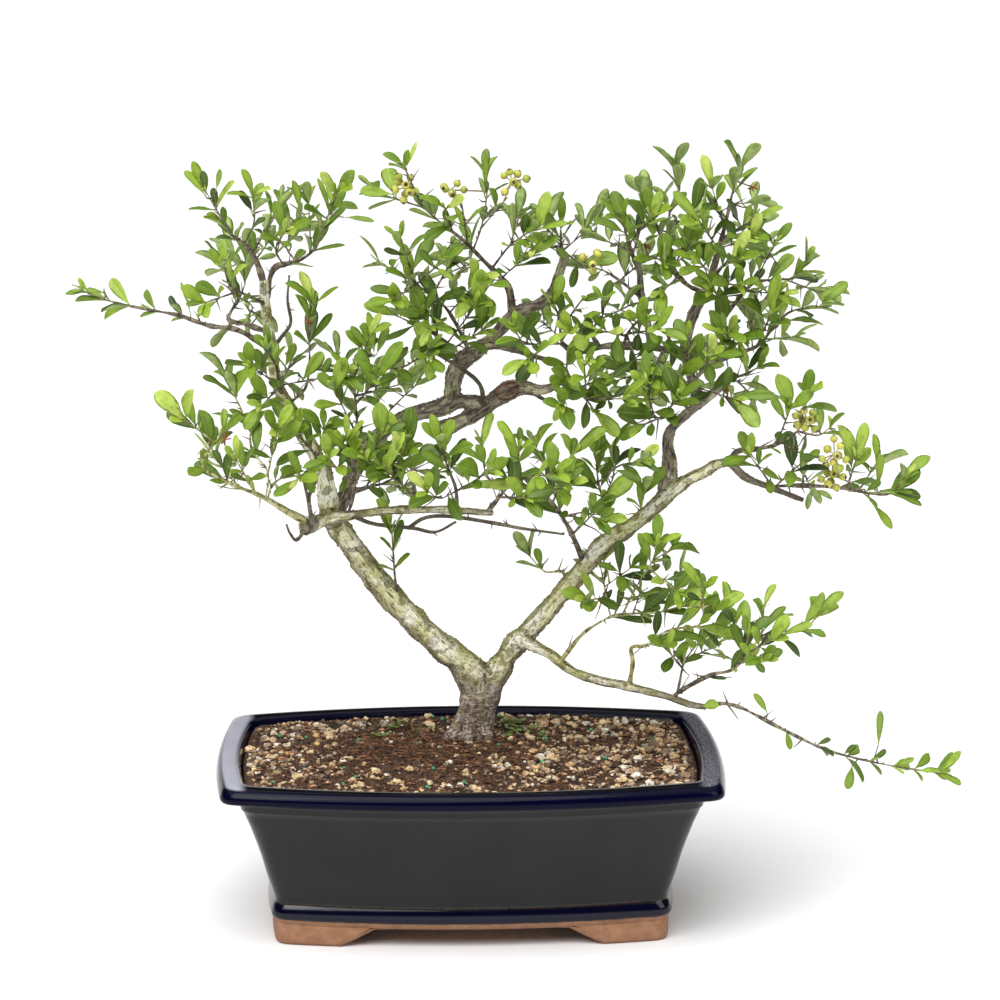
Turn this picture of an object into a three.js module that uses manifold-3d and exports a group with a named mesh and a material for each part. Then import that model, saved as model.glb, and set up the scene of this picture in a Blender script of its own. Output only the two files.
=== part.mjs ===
// A firethorn bonsai: a forked tree with leafy sprays and green berries, planted in grit in a glazed pot.
// Millimetres, +Z up. Lengths below are in the pot's own frame, whose origin is under the middle of the pot.
// The whole planting is shifted at the end, so that the origin is under the middle of its box.
import * as THREE from "three";
import { mergeVertices } from "three/addons/utils/BufferGeometryUtils.js";
import Module from "manifold-3d";

const wasm = await Module();
wasm.setup();

// Driving sizes of the pot
const POT_HEIGHT = 108;
const RIM_HALF_WIDTH = 152.5;
const RIM_HALF_DEPTH = 91;
const CORNER_CUT = 8;
const FRONT_BOW = [13, 20];
const END_BOW = [4, 6];
const POINTS_PER_SIDE = 4;
const FLOOR_TOP = 22;
const FOOT_INSET = 31.8;
const FOOT_HEIGHT = 13;
const FOOT_RIM = 15;
const LONG_ARCH = { foot: 84, crown: 58, height: 12 };
const SHORT_ARCH = { foot: 34, crown: 14, height: 12 };
const DRAIN_RADIUS = 10;
const DRAIN_SPACING = 62;

// Driving sizes of the soil and the drain screens
const SOIL_EDGE = 99;
const SOIL_MOUND = 5;
const GRIT_RELIEF = 1.7;
const SCREEN_SIDE = 34;
const SCREEN_THICKNESS = 0.8;
const SCREEN_HOLE = 13;
const CLEARANCE = 0.3;

// Driving sizes of the leaves, twigs and berries
const LEAF_THICKNESS = 1.2;
const LEAF_LENGTH = [12, 26];
const LEAF_WIDTH = [0.36, 0.5];
const LEAF_SHAPE = [[0.64, 0.46], [0.98, 0.24]];
const LEAF_FOOT_RADIUS = 0.35;
const LEAF_DROOP = 0.1;
const LEAF_SPACING = 6;
const LEAVES_PER_NODE = 3;
const LEAF_STEP = 7;
const OUTER_BLADE = 0.35;
const SMALLEST_EDGE = 0.05;
const FINEST_STEP = 1 / 1024;
const GOLDEN_ANGLE = 137.5;
const TWIG_RADIUS = 0.85;
const TWIG_START_RADIUS = 0.45;
const TWIG_TIP_RADIUS = 0.65;
const THORN_LENGTH = 11;
const THORN_RADIUS = 0.8;
const THORN_STEP = 8;
const BERRY_RADIUS = 2.7;
const STALK_RADIUS = 0.6;

// Each limb is a route of centre points, each with its radius
const LIMBS = {
  left_trunk: [
    [7, 30, 131, 11.5], [2, 30, 147, 10.5], [-7, 28, 159, 9], [-20, 26, 170, 8.3],
    [-37, 23, 188, 7.9], [-53, 20, 206, 7.6], [-64, 18, 221, 7.4], [-77, 15, 241, 7.2],
    [-86, 14, 256, 6.6], [-89, 16, 277, 5.4], [-95, 18, 292, 4.8], [-105, 20, 310, 4.6],
    [-114, 21, 326, 4.2], [-120, 22, 344, 3.6], [-122, 22, 364, 3.3], [-125, 22, 384, 3.1],
    [-126, 22, 402, 2.9],
  ],
  right_trunk: [
    [9, 30, 131, 10], [14, 30, 142, 8.6], [20, 29, 152, 7.2], [26, 27, 163, 6.6],
    [36, 25, 175, 6.2], [53, 22, 195, 5.9], [64, 19, 209, 5.8], [75, 16, 224, 6],
    [83, 13, 234, 6.4], [97, 10, 245, 5.6], [109, 8, 254, 4.9], [119, 6, 264, 5],
    [129, 5, 273, 4.8], [137, 4, 279, 3.9], [146, 3, 283, 3.3], [153, 2, 288, 3.2],
    [161, 1, 290, 3],
  ],
  front_limb: [
    [-104, 0, 249, 4.3], [-96, 4, 252, 4.3], [-88, 8, 254, 4], [-73, -1, 258, 3],
    [-55, -8, 262, 2.7], [-35, -14, 264, 2.6], [-12, -20, 265, 2.3], [14, -26, 264, 2.1],
  ],
  middle_limb: [
    [-85, 16, 252, 5.4], [-77, 22, 267, 4.6], [-70, 28, 283, 4.4], [-60, 33, 297, 4.4],
    [-47, 36, 308, 4.7], [-34, 36, 315, 5], [-17, 35, 319, 5.2], [-4, 34, 323, 4.6],
    [10, 32, 323, 3.4],
  ],
  rising_limb: [
    [-17, 35, 319, 4.8], [-10, 35, 325, 4.8], [-9, 36, 336, 5.4], [-4, 36, 348, 5.2],
    [5, 36, 354, 5.2], [17, 36, 364, 3.8], [30, 36, 378, 4.2], [45, 37, 384, 3.4],
    [53, 38, 392, 2.9], [58, 38, 405, 3], [61, 38, 414, 2.2],
  ],
  scar_limb: [
    [-20, 34, 304, 4.6], [-7, 35, 309, 5], [5, 34, 316, 5.3], [16, 31, 324, 5.3],
    [25, 28, 330, 5.4], [34, 25, 333, 4.6], [45, 22, 332, 3.2], [55, 20, 336, 2.7],
    [58, 18, 344, 2],
  ],
  upper_limb: [
    [123, 7, 269, 5.4], [124, 9, 277, 5.2], [125, 11, 288, 4.8], [124, 14, 298, 3.8],
    [126, 17, 307, 3.3], [134, 20, 315, 3.1], [145, 24, 323, 2.9], [155, 27, 330, 2.7],
    [163, 30, 338, 2.5],
  ],
  crown_limb: [
    [143, 24, 321, 2.8], [140, 30, 335, 3], [136, 34, 353, 3.2], [138, 36, 368, 3.3],
    [143, 36, 381, 3.3], [149, 36, 392, 3], [153, 34, 406, 2.4], [156, 32, 418, 1.9],
  ],
  cross_limb: [
    [136, 34, 353, 2.6], [115, 30, 357, 2.5], [93, 27, 359, 2.5], [80, 25, 358, 1.9],
    [66, 24, 355, 1.7],
  ],
  inner_limb: [
    [114, 30, 356, 2.3], [112, 32, 373, 2.2], [108, 34, 390, 2.5], [107, 35, 404, 2.1],
    [103, 35, 413, 1.8],
  ],
  low_limb: [
    [35, 24, 172, 4], [42, 18, 169, 3.8], [52, 10, 165, 3.3], [65, 0, 157, 3], [81, -8, 153, 2.9],
    [97, -14, 151, 2.8], [110, -20, 149, 2.6], [122, -25, 147, 2.4], [136, -30, 143, 2.2],
    [146, -33, 142, 1.9],
  ],
  rear_shoot: [
    [-121, 22, 359, 1.4], [-115, 30, 366, 1.2], [-110, 36, 373, 1.1], [-112, 44, 386, 0.9],
    [-111, 54, 400, 0.7],
  ],
  elbow_shoot: [
    [-97, -1, 253, 1.6], [-99, -6, 270, 1.3], [-94, -10, 282, 0.8],
  ],
  elbow_fork: [
    [-99, -5, 267, 1.1], [-102, -18, 283, 0.7],
  ],
  dry_curl: [
    [-102, -2, 249, 1.2], [-107, -4, 243, 1.1], [-111, -6, 248, 0.9], [-113, -8, 254, 0.7],
  ],
  lower_twig: [
    [-70, -3, 257, 1.5], [-58, 0, 252, 1.3], [-35, 2, 249, 1.2], [-21, 4, 246, 1],
    [-8, 6, 252, 0.8],
  ],
  lower_twig_rear: [
    [-38, 2, 249, 1.2], [-27, 14, 253, 1.3], [-11, 22, 252, 1.3], [17, 24, 247, 1.2],
    [34, 22, 244, 1], [60, 18, 241, 0.7],
  ],
  scar_twig: [
    [39, 24, 331, 1.4], [50, 32, 323, 1.1], [67, 50, 314, 0.7],
  ],
  dark_limb: [
    [4, 36, 354, 3.4], [14, 30, 359, 2.8], [27, 24, 358, 2.4], [38, 18, 355, 1.9],
    [54, 12, 351, 1.3],
  ],
  right_stub: [
    [161, 1, 290, 2.6], [172, 6, 279, 2.4], [183, 8, 274, 2.2], [194, 6, 270, 2],
    [208, 2, 265, 1.7],
  ],
  arch_twig: [
    [10, 32, 323, 1.5], [7, 22, 336, 1.4], [-4, 14, 347, 1.2], [-24, 8, 360, 0.9],
  ],
};
const LIMB_ROUTES = Object.values(LIMBS).map((limb) => limb.map(([x, y, z]) => new THREE.Vector3(x, y, z)));

// The flare at the foot of the trunk: each root's bearing in degrees, its reach and its radius
const TRUNK_FOOT = [5, 30];
const ROOTS = [[198, 21, 6], [246, 17, 5.5], [300, 17, 5], [40, 12, 5], [128, 19, 6]];

// Each spray is a stem and its side twigs. The stem's first point also has its radius,
// and each twig starts from the nearest stem that is already there
const SPRAYS = {
  spray_top_left: [
    [[-126, 22, 401, 2.6], [-130, 20, 413], [-136, 14, 424], [-145, 8, 432], [-149, 4, 438]],
    [[-146, 8, 433], [-159, -10, 460]],
    [[-136, 14, 424], [-131, 6, 440], [-131, -12, 458]],
    [[-133, 17, 418], [-116, 54, 446]],
  ],
  spray_top_left_inner: [
    [
      [-125, 22, 388, 2.3], [-120, 25, 408], [-108, 20, 413], [-100, 16, 417], [-93, 13, 424],
      [-90, 10, 433],
    ],
    [[-115, 18, 410], [-118, 6, 423], [-112, -14, 436]],
    [[-99, 6, 419], [-98, 30, 449]],
    [[-90, -6, 435], [-80, -30, 461]],
    [[-108, 14, 413], [-112, 34, 421], [-107, 60, 431]],
  ],
  spray_left_middle: [
    [[-123, 20, 386, 2], [-132, 12, 392], [-145, 0, 401], [-149, -10, 413]],
    [[-140, 4, 398], [-160, -24, 395]],
    [[-145, 0, 401], [-152, 30, 414]],
  ],
  spray_left_rear: [
    [
      [-123, 24, 369, 2.1], [-138, 36, 372], [-149, 46, 374], [-143, 52, 385], [-139, 56, 394],
      [-138, 60, 408],
    ],
    [[-143, 52, 385], [-135, 66, 379], [-138, 84, 368]],
    [[-138, 58, 403], [-150, 90, 414]],
    [[-139, 58, 400], [-123, 96, 418]],
  ],
  spray_far_left: [
    [
      [-123, 20, 358, 2.2], [-131, 12, 366], [-143, 4, 374], [-159, 0, 377], [-177, -4, 384],
      [-190, -6, 387], [-208, -8, 391], [-225, -10, 396], [-233, -12, 400],
    ],
  ],
  spray_trunk_tuft: [
    [[-116, 20, 330, 2], [-117, 10, 339], [-118, -6, 352], [-123, -20, 365]],
    [[-117, 10, 339], [-133, -26, 356]],
    [[-117, 10, 339], [-80, -18, 349]],
    [[-116, 12, 337], [-126, -30, 333]],
    [[-117, 14, 337], [-110, 50, 347]],
  ],
  spray_trunk_upright: [
    [[-113, 22, 325, 1.3], [-101, 16, 335], [-98, 6, 354], [-98, 2, 371], [-95, -6, 391]],
  ],
  spray_left_low: [
    [
      [-97, 2, 253, 2.3], [-111, -6, 261], [-128, -14, 273], [-147, -22, 283], [-163, -30, 295],
      [-158, -32, 307], [-149, -34, 317],
    ],
    [[-156, -32, 311], [-172, -56, 329]],
    [[-128, -14, 273], [-124, -12, 288], [-134, -8, 301], [-134, -4, 313], [-130, 2, 323]],
    [[-134, -4, 311], [-149, 20, 340]],
    [[-125, -12, 287], [-117, -44, 319]],
    [[-131, -16, 276], [-141, -52, 302]],
    [[-124, -12, 271], [-122, 2, 277], [-115, 20, 278]],
    [[-141, -20, 280], [-158, 18, 291]],
  ],
  spray_elbow: [
    [[-91, 14, 286, 1.6], [-94, 2, 294], [-100, -16, 306], [-105, -30, 314]],
    [[-94, 2, 294], [-89, -24, 317]],
    [[-94, 2, 294], [-74, -34, 307]],
    [[-95, 2, 292], [-104, -32, 288]],
  ],
  spray_dark: [
    [[-77, 21, 264, 1.7], [-70, 8, 285], [-69, 4, 311], [-70, 2, 330], [-71, 0, 346]],
    [[-71, 0, 345], [-61, -26, 374]],
    [[-71, 0, 346], [-57, -4, 350], [-40, -12, 353], [-25, -22, 365]],
    [[-70, 2, 330], [-42, 34, 334]],
    [[-70, 2, 327], [-56, -40, 351]],
    [[-69, 4, 309], [-82, -24, 340]],
    [[-70, 2, 335], [-81, 44, 350]],
  ],
  spray_band_left: [
    [[-73, -1, 258, 1.6], [-71, -14, 277], [-72, -30, 296], [-75, -46, 314]],
    [[-71, -16, 280], [-54, -54, 318]],
    [[-71, -18, 282], [-86, -52, 303]],
    [[-71, -13, 275], [-59, -28, 283], [-63, -50, 301]],
    [[-64, -22, 280], [-49, -36, 291], [-42, -54, 305]],
  ],
  spray_band_middle: [
    [[-34, -14, 264, 1.7], [-35, -22, 283], [-37, -34, 302], [-40, -48, 315]],
    [[-34, -16, 271], [-51, -58, 298]],
    [[-35, -21, 282], [-13, 10, 287]],
  ],
  spray_band_front: [
    [[-8, -20, 264, 1.5], [-9, -32, 281], [-14, -48, 297], [-18, -62, 315]],
    [[-9, -31, 280], [-19, -48, 278], [-26, -66, 286]],
    [[-9, -32, 281], [10, -68, 298]],
  ],
  spray_band_end: [
    [[12, -26, 265, 1.7], [19, -32, 277], [26, -42, 290], [29, -56, 309]],
    [[20, -33, 280], [10, -18, 287], [8, -4, 302]],
    [[25, -41, 289], [48, -74, 298]],
    [[18, -31, 275], [31, -68, 282]],
  ],
  spray_hanging_shoot: [
    [[-43, 22, 195, 1.1], [-46, 12, 214], [-47, 6, 230], [-48, 0, 247]],
  ],
  spray_rear_band: [
    [[-76, 24, 266, 1.7], [-66, 44, 266], [-53, 62, 265], [-40, 84, 259]],
    [[-66, 44, 266], [-52, 76, 283]],
    [[-53, 62, 265], [-23, 88, 274]],
    [[-60, 58, 275], [-54, 58, 302], [-57, 70, 323], [-61, 88, 333]],
    [[-54, 60, 307], [-41, 74, 318], [-32, 92, 323]],
  ],
  spray_centre: [
    [
      [68, 16, 224, 2.4], [67, 6, 237], [60, -6, 253], [52, -18, 267], [43, -28, 277],
      [32, -40, 284],
    ],
    [[52, -18, 267], [62, -34, 301]],
    [[64, 0, 244], [82, -28, 270]],
    [[57, -10, 258], [70, -26, 264], [79, -44, 263]],
    [[53, -20, 273], [42, 14, 298]],
    [[46, -25, 274], [58, -64, 290]],
  ],
  spray_trunk_inner: [
    [[98, 10, 245, 1.6], [87, 0, 260], [80, -10, 277], [77, -24, 299]],
    [[84, -4, 269], [90, 8, 281], [90, 26, 292]],
    [[80, -11, 279], [91, -26, 293], [103, -44, 299]],
  ],
  spray_trunk_bend: [
    [[102, 9, 248, 1.4], [106, -2, 260], [108, -10, 273]],
  ],
  spray_trunk_side: [
    [[64, 19, 209, 1.3], [59, 22, 216], [48, 28, 215], [39, 38, 223]],
  ],
  spray_crown_left: [
    [[2, 36, 352, 1.9], [-4, 30, 366], [-13, 22, 383], [-24, 12, 394], [-34, 2, 404]],
    [[-32, 3, 403], [-42, -24, 433]],
    [[-32, 3, 403], [-54, 34, 410]],
    [[-31, 4, 402], [-16, -30, 421]],
    [[-23, 13, 393], [-8, 48, 413]],
    [[-12, 22, 381], [4, -14, 404]],
    [[-23, 13, 393], [-23, -24, 380]],
    [[-31, 4, 402], [-46, -28, 397]],
  ],
  spray_crown_fork: [
    [[-8, 36, 345, 1.7], [-12, 24, 360], [-20, 8, 370], [-28, -10, 383]],
    [[-12, 24, 360], [3, -16, 390]],
    [[-18, 12, 367], [-43, -6, 383]],
    [[-11, 27, 357], [8, -10, 375]],
    [[-15, 18, 363], [-24, -24, 361]],
  ],
  spray_top_middle: [
    [
      [30, 36, 377, 2.8], [26, 34, 393], [20, 32, 402], [11, 30, 411], [-2, 24, 425],
      [-17, 16, 438], [-30, 8, 450],
    ],
    [[-10, 20, 431], [-14, -12, 450]],
    [[-28, 9, 448], [-39, -12, 475]],
    [[-30, 8, 450], [-55, 32, 454]],
    [[-2, 24, 425], [-5, -8, 457]],
    [[3, 27, 419], [9, 30, 435], [12, 34, 452], [12, 38, 464]],
    [[8, 30, 432], [24, 10, 454]],
    [[15, 31, 407], [25, 26, 421], [33, 16, 429], [41, 2, 435]],
    [[25, 26, 421], [33, 58, 437]],
    [[20, 32, 402], [34, 0, 418]],
    [[18, 32, 402], [9, 0, 396]],
    [[10, 30, 411], [-9, 68, 400]],
  ],
  spray_top_fork: [
    [[60, 38, 412, 2], [58, 30, 422], [57, 16, 435]],
    [[59, 34, 418], [80, 62, 430]],
    [[59, 31, 421], [40, 0, 424]],
    [[59, 33, 418], [74, 2, 409]],
    [[59, 31, 421], [47, 72, 431]],
  ],
  spray_cross_end: [
    [[66, 24, 355, 1.7], [58, 16, 363], [56, 4, 378], [52, -12, 391]],
    [[58, 16, 363], [45, 4, 364], [33, -10, 367], [27, -26, 379]],
    [[56, 8, 372], [68, -26, 396]],
    [[61, 19, 360], [59, -20, 348]],
    [[49, 8, 363], [35, -30, 360]],
    [[58, 15, 365], [44, 56, 373]],
  ],
  spray_cross_middle: [
    [[80, 25, 358, 1.6], [76, 14, 370], [82, 2, 381], [82, -14, 393]],
    [[77, 16, 367], [61, -24, 376]],
    [[81, 4, 379], [101, 34, 383]],
  ],
  spray_cross_right: [
    [[97, 27, 359, 1.3], [99, 12, 370], [105, -8, 382]],
    [[98, 17, 367], [79, -26, 377]],
    [[99, 12, 370], [113, -30, 378]],
    [[98, 17, 367], [104, -22, 351]],
  ],
  spray_scar_end: [
    [[56, 20, 336, 2], [65, 8, 336], [71, -6, 332], [76, -20, 327]],
    [[71, -6, 332], [69, -40, 358]],
    [[71, -6, 332], [92, -38, 337]],
    [[65, 8, 336], [56, -30, 332]],
    [[66, 6, 335], [87, 46, 336]],
  ],
  spray_inner_top: [
    [[103, 35, 412, 1.8], [99, 24, 425], [94, 8, 441]],
    [[102, 33, 415], [112, 56, 439]],
    [[91, 28, 412], [81, 58, 423]],
    [[104, 35, 410], [113, 18, 416], [119, -2, 415]],
    [[99, 24, 425], [111, -12, 444]],
  ],
  spray_inner_side: [
    [[108, 34, 389, 1.3], [97, 44, 396], [86, 54, 402], [77, 66, 403]],
    [[97, 44, 396], [111, 82, 403]],
  ],
  spray_apex: [
    [
      [149, 36, 391, 2.5], [137, 42, 395], [128, 46, 407], [126, 48, 425], [127, 48, 442],
      [132, 46, 454], [130, 42, 468],
    ],
    [[127, 48, 440], [114, 80, 446]],
    [[126, 48, 430], [145, 16, 446]],
    [[127, 47, 416], [114, 12, 436]],
    [[129, 45, 405], [137, 6, 425]],
    [[132, 44, 400], [120, 4, 397]],
    [[128, 46, 407], [144, 88, 424]],
  ],
  spray_crown_top: [
    [[156, 32, 417, 1.9], [158, 30, 427], [161, 28, 441], [164, 26, 456], [168, 24, 469]],
    [[159, 29, 432], [149, 4, 460]],
    [[158, 30, 427], [174, 0, 441]],
    [[156, 32, 419], [172, -10, 431]],
    [[156, 32, 418], [142, -8, 439]],
    [[162, 27, 447], [179, 58, 444]],
    [[158, 30, 427], [181, 76, 424]],
  ],
  spray_crown_front: [
    [[150, 36, 393, 1.6], [153, 16, 405], [158, -6, 416], [163, -22, 420]],
    [[153, 16, 405], [139, -22, 418]],
    [[151, 26, 400], [164, -12, 402]],
  ],
  spray_crown_right: [
    [
      [139, 34, 356, 1.8], [153, 34, 360], [160, 34, 375], [172, 32, 391], [179, 30, 398],
      [191, 26, 400], [203, 22, 402], [209, 18, 412],
    ],
    [[179, 30, 398], [187, 0, 425]],
    [[174, 31, 393], [185, 64, 415]],
    [[165, 33, 381], [149, -4, 398]],
    [[172, 32, 391], [191, 0, 395]],
    [[159, 34, 372], [166, 2, 367]],
    [[196, 25, 400], [219, 52, 389]],
    [[168, 33, 386], [186, 74, 371]],
  ],
  spray_right_arch: [
    [
      [140, 32, 345, 1.7], [155, 30, 348], [172, 26, 355], [181, 22, 360], [191, 18, 373],
      [200, 14, 382], [217, 8, 386],
    ],
    [[181, 22, 360], [185, -6, 383]],
    [[184, 21, 363], [205, 48, 360]],
    [[169, 26, 354], [157, -12, 372]],
    [[177, 24, 358], [179, 62, 373]],
  ],
  spray_limb_tip: [
    [[163, 30, 338, 1.6], [172, 22, 341], [179, 12, 347]],
    [[164, 29, 338], [157, -4, 363]],
    [[166, 27, 339], [182, 58, 320]],
  ],
  spray_limb_front: [
    [[146, 25, 325, 1.7], [142, 10, 337], [135, -10, 353], [130, -28, 370]],
    [[144, 18, 331], [133, 0, 335], [119, -18, 339], [110, -34, 346]],
    [[140, 4, 342], [146, -38, 363]],
    [[143, 13, 334], [160, -28, 335]],
  ],
  spray_limb_left: [
    [[133, 20, 314, 1.6], [123, 4, 318], [113, -14, 319], [104, -28, 318]],
    [[115, -12, 320], [106, -42, 344]],
    [[119, -4, 319], [125, -44, 338]],
  ],
  spray_limb_rear: [
    [[138, 22, 318, 1.6], [133, 40, 323], [127, 60, 329], [123, 82, 334]],
    [[133, 40, 323], [152, 80, 335]],
    [[127, 60, 329], [109, 92, 315]],
  ],
  spray_cross_tip: [
    [[122, 31, 356, 1.2], [117, 18, 350], [106, 4, 346], [91, -8, 343]],
    [[118, 20, 352], [128, -14, 347]],
  ],
  spray_right_upper: [
    [
      [161, 1, 290, 2.3], [166, -2, 297], [175, -6, 299], [183, -10, 301], [190, -14, 304],
      [200, -20, 312], [204, -24, 319],
    ],
    [[202, -22, 315], [204, -48, 340]],
    [[191, -15, 305], [201, -26, 301], [210, -36, 300], [217, -48, 299]],
    [[200, -20, 312], [215, -8, 308], [224, 6, 310]],
    [[190, -14, 304], [193, -50, 332]],
  ],
  spray_right_lower: [
    [
      [186, 8, 272, 1.6], [205, 4, 274], [222, 0, 274], [236, -4, 273], [249, -8, 271],
      [260, -12, 272], [267, -16, 282],
    ],
    [[234, -3, 273], [236, -32, 297]],
    [[206, 4, 274], [210, 20, 278], [217, 38, 264]],
    [[191, 8, 273], [203, -26, 294]],
    [[241, -6, 272], [257, 28, 284]],
    [[184, 8, 274], [172, -22, 298]],
  ],
  spray_low_inner: [
    [
      [57, 6, 162, 1.6], [70, 8, 178], [80, 6, 186], [90, 2, 192], [104, -4, 195], [117, -10, 197],
      [132, -18, 203],
    ],
    [[89, 2, 192], [86, 8, 201], [85, 16, 209], [83, 26, 219]],
    [[86, 8, 201], [73, -22, 208]],
    [[95, -1, 194], [100, -8, 206], [106, -16, 220], [112, -24, 232], [114, -32, 243]],
    [[110, -21, 228], [125, -50, 220]],
    [[85, 16, 209], [100, -12, 226]],
    [[112, -24, 232], [128, 6, 234]],
    [[121, -12, 198], [133, 22, 208]],
    [[102, -4, 195], [109, 36, 199]],
  ],
  spray_low_loop: [
    [
      [98, -15, 151, 1.8], [101, -18, 167], [100, -20, 177], [109, -26, 180], [119, -34, 190],
      [128, -40, 194], [139, -46, 197], [148, -52, 207],
    ],
    [[137, -45, 197], [155, -10, 182]],
    [[142, -48, 201], [139, -74, 226]],
  ],
  spray_low_middle: [
    [
      [123, -25, 146, 1.8], [135, -34, 156], [148, -42, 165], [159, -48, 169], [166, -52, 177],
      [169, -56, 193],
    ],
    [[167, -53, 179], [180, -78, 195]],
    [[167, -54, 183], [180, -44, 188], [194, -36, 189], [206, -30, 190], [214, -24, 196]],
    [[165, -51, 174], [175, -82, 184]],
    [[168, -54, 186], [159, -26, 201]],
    [[178, -45, 188], [183, -10, 199]],
  ],
  spray_low_thicket: [
    [[127, -27, 145, 1.3], [130, -20, 154], [133, -12, 164], [139, -6, 172]],
    [[133, -14, 162], [120, -38, 181]],
    [[135, -10, 166], [154, 20, 167]],
  ],
  spray_trailing: [
    [
      [144, -33, 142, 1.7], [156, -36, 145], [166, -38, 143], [175, -40, 139], [194, -42, 129],
      [216, -42, 118], [236, -40, 111], [260, -38, 105], [280, -36, 101], [289, -34, 99],
    ],
  ],
};

// Each bunch of berries: the spray that it hangs on, its middle and how many berries it has
const BUNCHES = {
  berries_top_left: { spray: "spray_top_middle", middle: [-39, 1, 461], count: 6 },
  berries_top_middle: { spray: "spray_top_middle", middle: [-10, 31, 456], count: 3 },
  berries_top_right: { spray: "spray_top_middle", middle: [27, 16, 463], count: 4 },
  berries_fork: { spray: "spray_top_fork", middle: [75, -1, 416], count: 3 },
  berries_right_top: { spray: "spray_right_upper", middle: [206, -29, 321], count: 5 },
  berries_right_middle: { spray: "spray_right_upper", middle: [221, -44, 303], count: 4 },
  berries_right_low: { spray: "spray_right_lower", middle: [224, -8, 283], count: 5 },
};

// Numbers from 0 to 1 that are the same each time
function seededRandom(seed) {
  let state = seed >>> 0;
  return () => {
    state = (state + 0x6d2b79f5) >>> 0;
    let value = Math.imul(state ^ (state >>> 15), state | 1);
    value ^= value + Math.imul(value ^ (value >>> 7), value | 61);
    return ((value ^ (value >>> 14)) >>> 0) / 4294967296;
  };
}

const lerp = (from, to, share) => from + (to - from) * share;
const vector = (point) => new THREE.Vector3(point[0], point[1], point[2]);

// A closed three.js geometry as a solid, without the faces that have shrunk to a line
function solid(geometry) {
  const bare = geometry.clone();
  bare.deleteAttribute("normal");
  bare.deleteAttribute("uv");
  const merged = mergeVertices(bare, 1e-5);
  const corners = merged.index.array;
  const faces = [];
  for (let i = 0; i < corners.length; i += 3) {
    const [a, b, c] = corners.slice(i, i + 3);
    if (a !== b && b !== c && c !== a) {
      faces.push(a, b, c);
    }
  }
  return new wasm.Manifold(new wasm.Mesh({
    numProp: 3,
    vertProperties: new Float32Array(merged.attributes.position.array),
    triVerts: new Uint32Array(faces),
  }));
}

const snap = (value) => Math.round(value / FINEST_STEP) * FINEST_STEP;

// A solid as a three.js geometry, with its corners on a fine grid
function geometryOf(body) {
  const mesh = body.getMesh();
  const geometry = new THREE.BufferGeometry();
  const corners = new Float32Array(mesh.vertProperties).map(snap);
  geometry.setAttribute("position", new THREE.BufferAttribute(corners, 3));
  geometry.setIndex(new THREE.BufferAttribute(new Uint32Array(mesh.triVerts), 1));
  geometry.computeVertexNormals();
  return geometry;
}

// A closed skin over rings of points, each ring with the same number of points
function loft(rings) {
  const count = rings[0].length;
  const positions = rings.flat().flatMap((point) => [point.x, point.y, point.z]);
  const faces = [];
  for (let ring = 0; ring + 1 < rings.length; ring += 1) {
    for (let j = 0; j < count; j += 1) {
      const here = ring * count + j;
      const next = ring * count + ((j + 1) % count);
      faces.push(here, next, next + count, here, next + count, here + count);
    }
  }
  const last = (rings.length - 1) * count;
  for (let j = 1; j + 1 < count; j += 1) {
    faces.push(0, j + 1, j, last, last + j, last + j + 1);
  }
  const geometry = new THREE.BufferGeometry();
  geometry.setAttribute("position", new THREE.Float32BufferAttribute(positions, 3));
  geometry.setIndex(faces);
  return geometry;
}

// The plan of the pot at a height: four bowed sides with cut corners, a given distance inside the rim
function outline(inset, z) {
  const rise = THREE.MathUtils.clamp(z / POT_HEIGHT, 0, 1);
  const halfWidth = RIM_HALF_WIDTH - inset;
  const halfDepth = RIM_HALF_DEPTH - inset;
  const turns = [[1, 0], [0, 1], [-1, 0], [0, -1]];
  const sides = turns.map(([cos, sin], side) => {
    const half = side % 2 === 0 ? halfWidth : halfDepth;
    const away = side % 2 === 0 ? halfDepth : halfWidth;
    const bow = side % 2 === 0 ? lerp(...FRONT_BOW, rise) : lerp(...END_BOW, rise);
    const reach = 1 - CORNER_CUT / half;
    const points = [];
    for (let i = 0; i <= POINTS_PER_SIDE; i += 1) {
      const share = lerp(-reach, reach, i / POINTS_PER_SIDE);
      const along = share * half;
      const out = away + bow * (1 - share * share);
      points.push(new THREE.Vector3(cos * along + sin * out, sin * along - cos * out, z));
    }
    const corner = new THREE.Vector3(cos * half + sin * away, sin * half - cos * away, z);
    return { points, corner };
  });
  return sides.flatMap(({ points, corner }, side) => {
    const before = points[points.length - 1];
    const after = sides[(side + 1) % 4].points[0];
    const round = before.clone().add(after).multiplyScalar(0.22).addScaledVector(corner, 0.56);
    round.z = z;
    return [...points, round];
  });
}

// A bar with the section of an arch, to cut the space between two feet
function archPrism({ foot, crown, height }) {
  const arch = new THREE.Shape();
  const middle = (foot + crown) / 2;
  arch.moveTo(-foot, -1);
  arch.lineTo(-foot, 0);
  arch.bezierCurveTo(-middle, 0, -middle, height, -crown, height);
  arch.lineTo(crown, height);
  arch.bezierCurveTo(middle, height, middle, 0, foot, 0);
  arch.lineTo(foot, -1);
  const length = 4 * RIM_HALF_WIDTH;
  const prism = new THREE.ExtrudeGeometry(arch, { depth: length, bevelEnabled: false, curveSegments: 2 });
  return prism.rotateX(Math.PI / 2).translate(0, length / 2, 0);
}

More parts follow.
